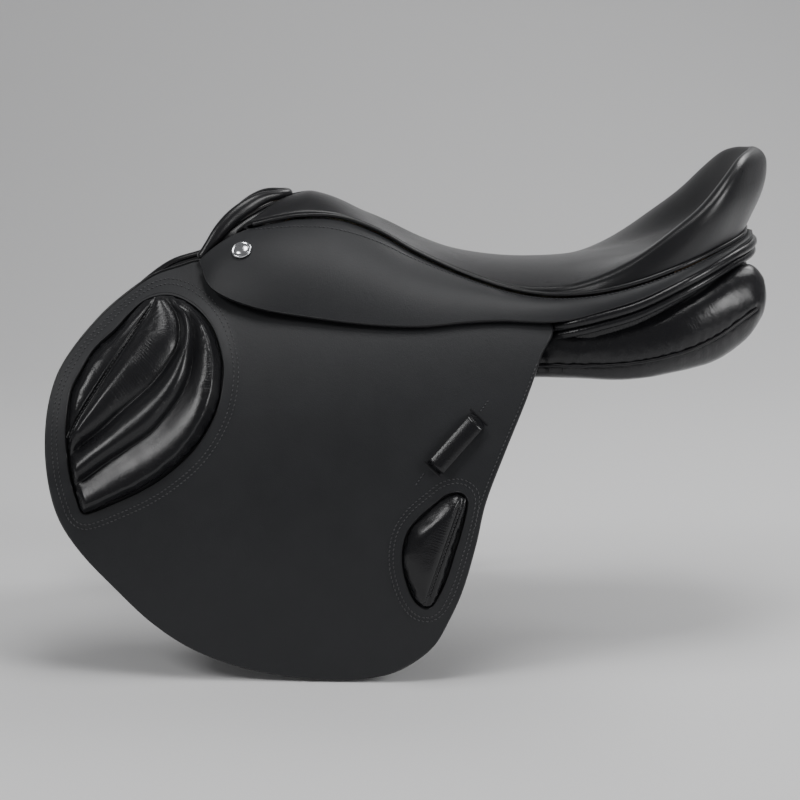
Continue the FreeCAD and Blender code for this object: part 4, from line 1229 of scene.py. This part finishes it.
ROLL_H = 6.0
ROLL_FROM = [(101, 24, 34), (107, 37, 36.5)]     # the rolls start under the flap's rear edge
upper_edge = moved_out(ROLL_FROM + ROLL_LINE, 0.4, 3.5)
roll_piece("rear_roll_upper_leather", upper_edge, [(x, y, z - ROLL_H - 1.5) for x, y, z in upper_edge], 3.6,
           SOFT_CALF, ["rear_roll_upper"], 2.6, 0.015, 0.2)
lower_edge = moved_out(ROLL_FROM + ROLL_LINE, -0.4, -4.0)
roll_piece("rear_roll_lower_leather", lower_edge, [(x, y, z - ROLL_H - 1.0) for x, y, z in lower_edge], 3.6,
           SOFT_CALF, ["rear_roll_lower"], 2.6, 0.015, 0.2)
gather_edge = moved_out(ROLL_FROM[1:] + ROLL_LINE, -7.5, 6.5)
roll_piece("rear_gather_leather", gather_edge, [(x, y, z - 22.0) for x, y, z in gather_edge], 1.5,
           SOFT_CALF, ["rear_facing"], 0.6, 0.1, 0.6)
ARCH_REACH, ARCH_DROP = 16.0, 7.0     # the cover under the seat's front end
arch_edge = [(max(x - 2.0, 0.0), y - 3.0, z - 2.5) for x, y, z in POMMEL_BACK]
roll_piece("pommel_cover_leather", arch_edge,
           [(x, y + ARCH_REACH, z - ARCH_DROP * z / arch_edge[-1][2]) for x, y, z in arch_edge], 1.4,
           SEAT_CALF, [], 1.0, 0.0, 0.1)
roll_piece("pommel_roll_leather", POMMEL_FRONT, POMMEL_BACK, 4.2, SEAT_CALF,
           ["pommel_roll"], 3.2, 0.0, 0.1)

# %% [markdown]
# ## Panels
# Each panel is a leather sleeve stuffed with wool. Its rear end is a fat gusset
# that shows below the seat. Rings round it are joined into a closed skin, which is
# blown up by simulation. A piping runs round the gusset, and the leather is
# puckered where it is sewn to it.
# %% Panel
PANEL_Y = (-226.0, 212.0)
PANEL_CAP = 16.0
PANEL_SHRINK = 0.97


def panel_corner(k, y):
    table = [(station, ring[k][0], ring[k][1]) for station, ring in sorted(PANEL.items())]
    return Vector((smooth(table, y), y, smooth(table, y, 2)))


def panel_rings(count, parts=6):
    rings = []
    for i in range(count + 1):
        y = PANEL_Y[0] + (PANEL_Y[1] - PANEL_Y[0]) * i / count
        rings.append((y, curve_through([panel_corner(k, y) for k in range(8)], True, parts)))
    return rings


PANEL_ROWS = 110
rings = panel_rings(PANEL_ROWS)


def panel_place(u, w):
    y, ring = rings[round(w * PANEL_ROWS)]
    middle = sum(ring, Vector()) / len(ring)
    end = min(y - PANEL_Y[0], PANEL_Y[1] - y) / PANEL_CAP
    shut = math.sqrt(max(1 - max(1 - end, 0) ** 2, 0.0))
    return middle + (ring[round(u * len(ring)) % len(ring)] - middle) * shut * PANEL_SHRINK


panel = patch(len(rings[0][1]), PANEL_ROWS, panel_place)
panel = stuffed(panel, 4.5, 4.0, 1, 3.0)
panel.normal_update()
layer = fold_layer(panel)
SEAM_PART = 3.45
seam_ring = [Vector(curve_through([panel_corner(k, y) for k in range(8)], True, 20)[int(SEAM_PART * 20)])
             for y in [PANEL_Y[0] + 1.5 * k for k in range(30, 286)]]
panel_tree = BVHTree.FromBMesh(panel)
seam_spots = []
for p in seam_ring:
    near, normal, _, _ = panel_tree.find_nearest(p)
    seam_spots.append((near, normal))
find = kdtree.KDTree(len(seam_spots))
for i, spot in enumerate(seam_spots):
    find.insert(spot[0], i)
find.balance()
for v in panel.verts:
    _, i, away = find.find(v.co)
    pucker = math.exp(-((away / 9.0) ** 2))
    v.co -= v.normal * (1.6 * math.exp(-((away / 2.6) ** 2)))
    v.co += v.normal * pucker * 0.35 * math.sin(i * 1.5 * 0.75 + 2 * math.sin(i * 0.19))
    v[layer] = Vector((i * 1.5, away, 0.25 + 0.7 * pucker))
join(panel, bead([s[0] - s[1] * 0.4 for s in seam_spots], [s[1] for s in seam_spots], 1.2, 1.2), 1)
add_pair("panel_pad", panel, [SOFT_CALF, EDGE_DYE], "tree", ["panel"])

# %% [markdown]
# ## Under the flap
# The sweat flap lies between the flap and the panel. Three girth straps hang over
# it from a webbing, each with a pointed end and a row of buckle holes. These are
# cut as sheets in the same way as the flap.
# %% Sweat flap and girth straps
sweat_loop = side_line(SWEAT_OUTLINE, 3.0, True)
sweat = cut_sheet([sweat_loop], 6.0)
for v in sweat.verts:
    v.co = side_point(v.co.y, v.co.z, -SWEAT_TOP)
turn_out(sweat)
sweat = thick(sweat, SWEAT_T)
points = [side_point(p.y, p.z, -SWEAT_TOP - SWEAT_T / 2) for p in sweat_loop]
join(sweat, bead(points, [side_normal(p.y, p.z) for p in sweat_loop], 1.2, SWEAT_T / 2 + 0.1, True), 1)
side_stitches(sweat, grown(sweat_loop, -6.0), -SWEAT_TOP, 2, 4.0, True)
add_pair("sweat_leather", sweat, [LINING, EDGE_DYE, THREAD], "tree", ["sweat_flap"])

HOLE_R, HOLES, HOLE_PITCH, HOLE_SIDES = 2.5, 4, 25.0, 16
for name, middle in STRAP_Y.items():
    half = STRAP_W / 2
    shoulder, tip, top = STRAP_BOTTOM_Z + 14, STRAP_BOTTOM_Z, STRAP_TOP_Z
    corners = [(middle - half, top), (middle - half, shoulder), (middle - 5, tip),
               (middle + 5, tip), (middle + half, shoulder), (middle + half, top)]
    loop = evenly([Vector((0, y, z)) for y, z in corners], 3.0, True)
    holes = []
    for k in range(HOLES):
        z = STRAP_BOTTOM_Z + 30 + HOLE_PITCH * k
        holes.append([Vector((0, middle + HOLE_R * math.cos(a), z + HOLE_R * math.sin(a)))
                      for a in (2 * math.pi * i / HOLE_SIDES for i in range(HOLE_SIDES))])
    strap = cut_sheet([loop] + holes, 5.0)
    for v in strap.verts:
        v.co = side_point(v.co.y, v.co.z, -STRAP_TOP - 0.2)
    turn_out(strap)
    strap = rounded(thick(strap, STRAP_T - 0.4), 0.6, 2)
    row = [(middle + half - 3, top - 4), (middle + half - 3, shoulder + 2), (middle, tip + 5),
           (middle - half + 3, shoulder + 2), (middle - half + 3, top - 4)]
    side_stitches(strap, [Vector((0, y, z)) for y, z in row], -STRAP_TOP - 0.2, 1, 4.0)
    add_pair("girth_leather_" + name, strap, [BRIDLE, THREAD], "strap_" + name,
             ["girth_strap_" + name])

web_front, web_rear = STRAP_Y["front"] - STRAP_W / 2, STRAP_Y["rear"] + STRAP_W / 2


def web_place(u, w):
    return side_point(web_front + (web_rear - web_front) * w, STRAP_TOP_Z + 1.4 + 6.0 * u, -STRAP_TOP - 1.0)


web = patch(6, 60, web_place)
turn_out(web)
add_pair("girth_webbing", thick(web, 1.5), [WEBBING], "tree", ["girth_web"])

# %% [markdown]
# ## Channel lining and nails
# A soft strip closes the channel between the panels from above. The saddle nail is
# a low dome on the skirt's front with a plain turned rim, spun from its profile.
# %% Lining
LINING_W, LINING_T = 39.0, 1.5
channel_rail = rail([(0, y, z) for y, z in CHANNEL])


def lining_place(u, w):
    spot = channel_rail(w)
    return spot + Vector(((u - 0.5) * LINING_W, 0, -0.1 - 0.25 * math.cos(math.pi * (2 * u - 1)) * 0.5))


lining = patch(24, 120, lining_place)
turn_out(lining, Vector((0, 0, 1)))
lining = thick(lining, LINING_T)
lining = rounded(lining, 0.5, 2)
for side in (-1, 1):
    shift = Vector((side * (LINING_W / 2 - 4), 0, -LINING_T))
    row = evenly([channel_rail(k / 120) + shift for k in range(121)], 4.0)
    stitches(lining, row, [Vector((0, 0, -1))] * len(row), 1, 4.0)
add_piece("channel_leather", lining, [LINING, THREAD], "tree", ["channel_lining"])
lining.free()

# %% Saddle nail
NAIL_PROFILE = [(0.0, 2.9), (2.5, 2.75), (4.6, 2.3), (5.9, 1.75), (6.3, 1.35), (6.7, 1.5), (7.3, 1.75),
                (7.9, 1.5), (8.2, 0.9), (8.2, 0.35), (7.6, 0.1), (1.6, 0.1), (1.6, -8.5), (0.0, -8.5)]
NAIL_STEPS = 48


def skirt_at(y, z):
    """The skirt's point and normal at a place in the side view."""
    hit = BVHTree.FromBMesh(patch(40, 200, skirt_place)).ray_cast(Vector((300, y, z)), Vector((-1, 0, 0)))
    return hit[0], (hit[1] if hit[1].x > 0 else -hit[1])


spot, normal = skirt_at(*NAIL_AT)
nail = bmesh.new()
profile = [nail.verts.new((r, 0, h)) for r, h in NAIL_PROFILE]
edges = [nail.edges.new(pair) for pair in zip(profile, profile[1:])]
bmesh.ops.spin(nail, geom=profile + edges, cent=(0, 0, 0), axis=(0, 0, 1), angle=2 * math.pi,
               steps=NAIL_STEPS, use_merge=True, use_duplicate=False)
bmesh.ops.remove_doubles(nail, verts=nail.verts, dist=0.01)
bmesh.ops.recalc_face_normals(nail, faces=nail.faces)
turn = normal.to_track_quat("Z", "Y").to_matrix().to_4x4()
bmesh.ops.transform(nail, matrix=Matrix.Translation(spot + normal * 0.35) @ turn, verts=nail.verts)
add_pair("nail_head", nail, [POLISHED], "tree", ["saddle_nail"])

# %% [markdown]
# ## Studio
# The saddle stands on a plain pale sweep. One soft light hangs over it and one is
# behind it. One from the right draws the seat's rim and the panel's end, and one
# from the front left draws the knee block. The camera stands level with the near
# side and a little above it.
# %% Sweep and lights
FLOOR_Z = -0.2315
SWEEP_X, SWEEP_R, SWEEP_W, SWEEP_FRONT, SWEEP_UP = -2.6, 1.4, 9.0, 5.0, 3.4


def sweep_place(u, w):
    """Floor that curves up into a backdrop: u from the front to the top."""
    flat = SWEEP_FRONT - (SWEEP_X + SWEEP_R)
    arc = SWEEP_R * math.pi / 2
    run = u * (flat + arc + SWEEP_UP)
    if run < flat:
        x, z = SWEEP_FRONT - run, 0.0
    elif run < flat + arc:
        turn = (run - flat) / SWEEP_R
        x, z = SWEEP_X + SWEEP_R - SWEEP_R * math.sin(turn), SWEEP_R * (1 - math.cos(turn))
    else:
        x, z = SWEEP_X, SWEEP_R + run - flat - arc
    return Vector((x, (w - 0.5) * SWEEP_W, FLOOR_Z + z)) / MM


def sweep_finish():
    made = Finish("paper_sweep", Roughness=0.9)
    made.feed("Base Color", made.mix(made.noise(0.6, 2), (0.80, 0.80, 0.805), (0.84, 0.84, 0.845)))
    made.feed("Normal", made.bump(made.noise(350, 3), 0.0001))
    return made.material


sweep = patch(60, 8, sweep_place)
turn_out(sweep, Vector((1, 0, 1)))
bmesh.ops.scale(sweep, vec=Vector((MM, MM, MM)), verts=sweep.verts)
sweep_mesh = bpy.data.meshes.new("sweep")
for face in sweep.faces:
    face.smooth = True
sweep.to_mesh(sweep_mesh)
sweep.free()
sweep_mesh.materials.append(sweep_finish())
sweep_obj = bpy.data.objects.new("sweep", sweep_mesh)
scene.collection.objects.link(sweep_obj)

TARGET = Vector((0, -0.083, -0.040))


def soft_light(name, place, size, power, aim=TARGET):
    light = bpy.data.lights.new(name, "AREA")
    light.shape = "RECTANGLE"
    light.size, light.size_y = size
    light.energy = power
    obj = bpy.data.objects.new(name, light)
    obj.location = place
    obj.rotation_euler = (aim - Vector(place)).to_track_quat("-Z", "Y").to_euler()
    scene.collection.objects.link(obj)


soft_light("overhead", (0.30, 0.0, 1.8), (0.7, 0.9), 15)
soft_light("behind", (-1.0, 0.9, 1.4), (1.0, 0.8), 14)
soft_light("right", (1.0, 1.9, 0.9), (0.8, 0.9), 24)
soft_light("left", (1.2, -1.6, 1.6), (0.7, 0.7), 16)
world = bpy.data.worlds.new("studio")
world.use_nodes = True
world.node_tree.nodes["Background"].inputs["Color"].default_value = (0.80, 0.80, 0.81, 1)
world.node_tree.nodes["Background"].inputs["Strength"].default_value = 0.20
scene.world = world
print("lights set")

# %% Camera
AZIMUTH, ELEVATION, DISTANCE = math.radians(92), math.radians(10.0), 1.8
FOCAL_PX, SENSOR, IMAGE_PX = 2160, 36.0, 800
camera_data = bpy.data.cameras.new("camera")
camera_data.sensor_width = SENSOR
camera_data.lens = FOCAL_PX / IMAGE_PX * SENSOR
camera = bpy.data.objects.new("camera", camera_data)
level = math.cos(ELEVATION)
back = Vector((math.sin(AZIMUTH) * level, -math.cos(AZIMUTH) * level, math.sin(ELEVATION)))
camera.location = TARGET + back * DISTANCE
camera.rotation_euler = back.to_track_quat("Z", "Y").to_euler()
scene.collection.objects.link(camera)
scene.camera = camera
print("camera at", [round(v, 3) for v in camera.location])
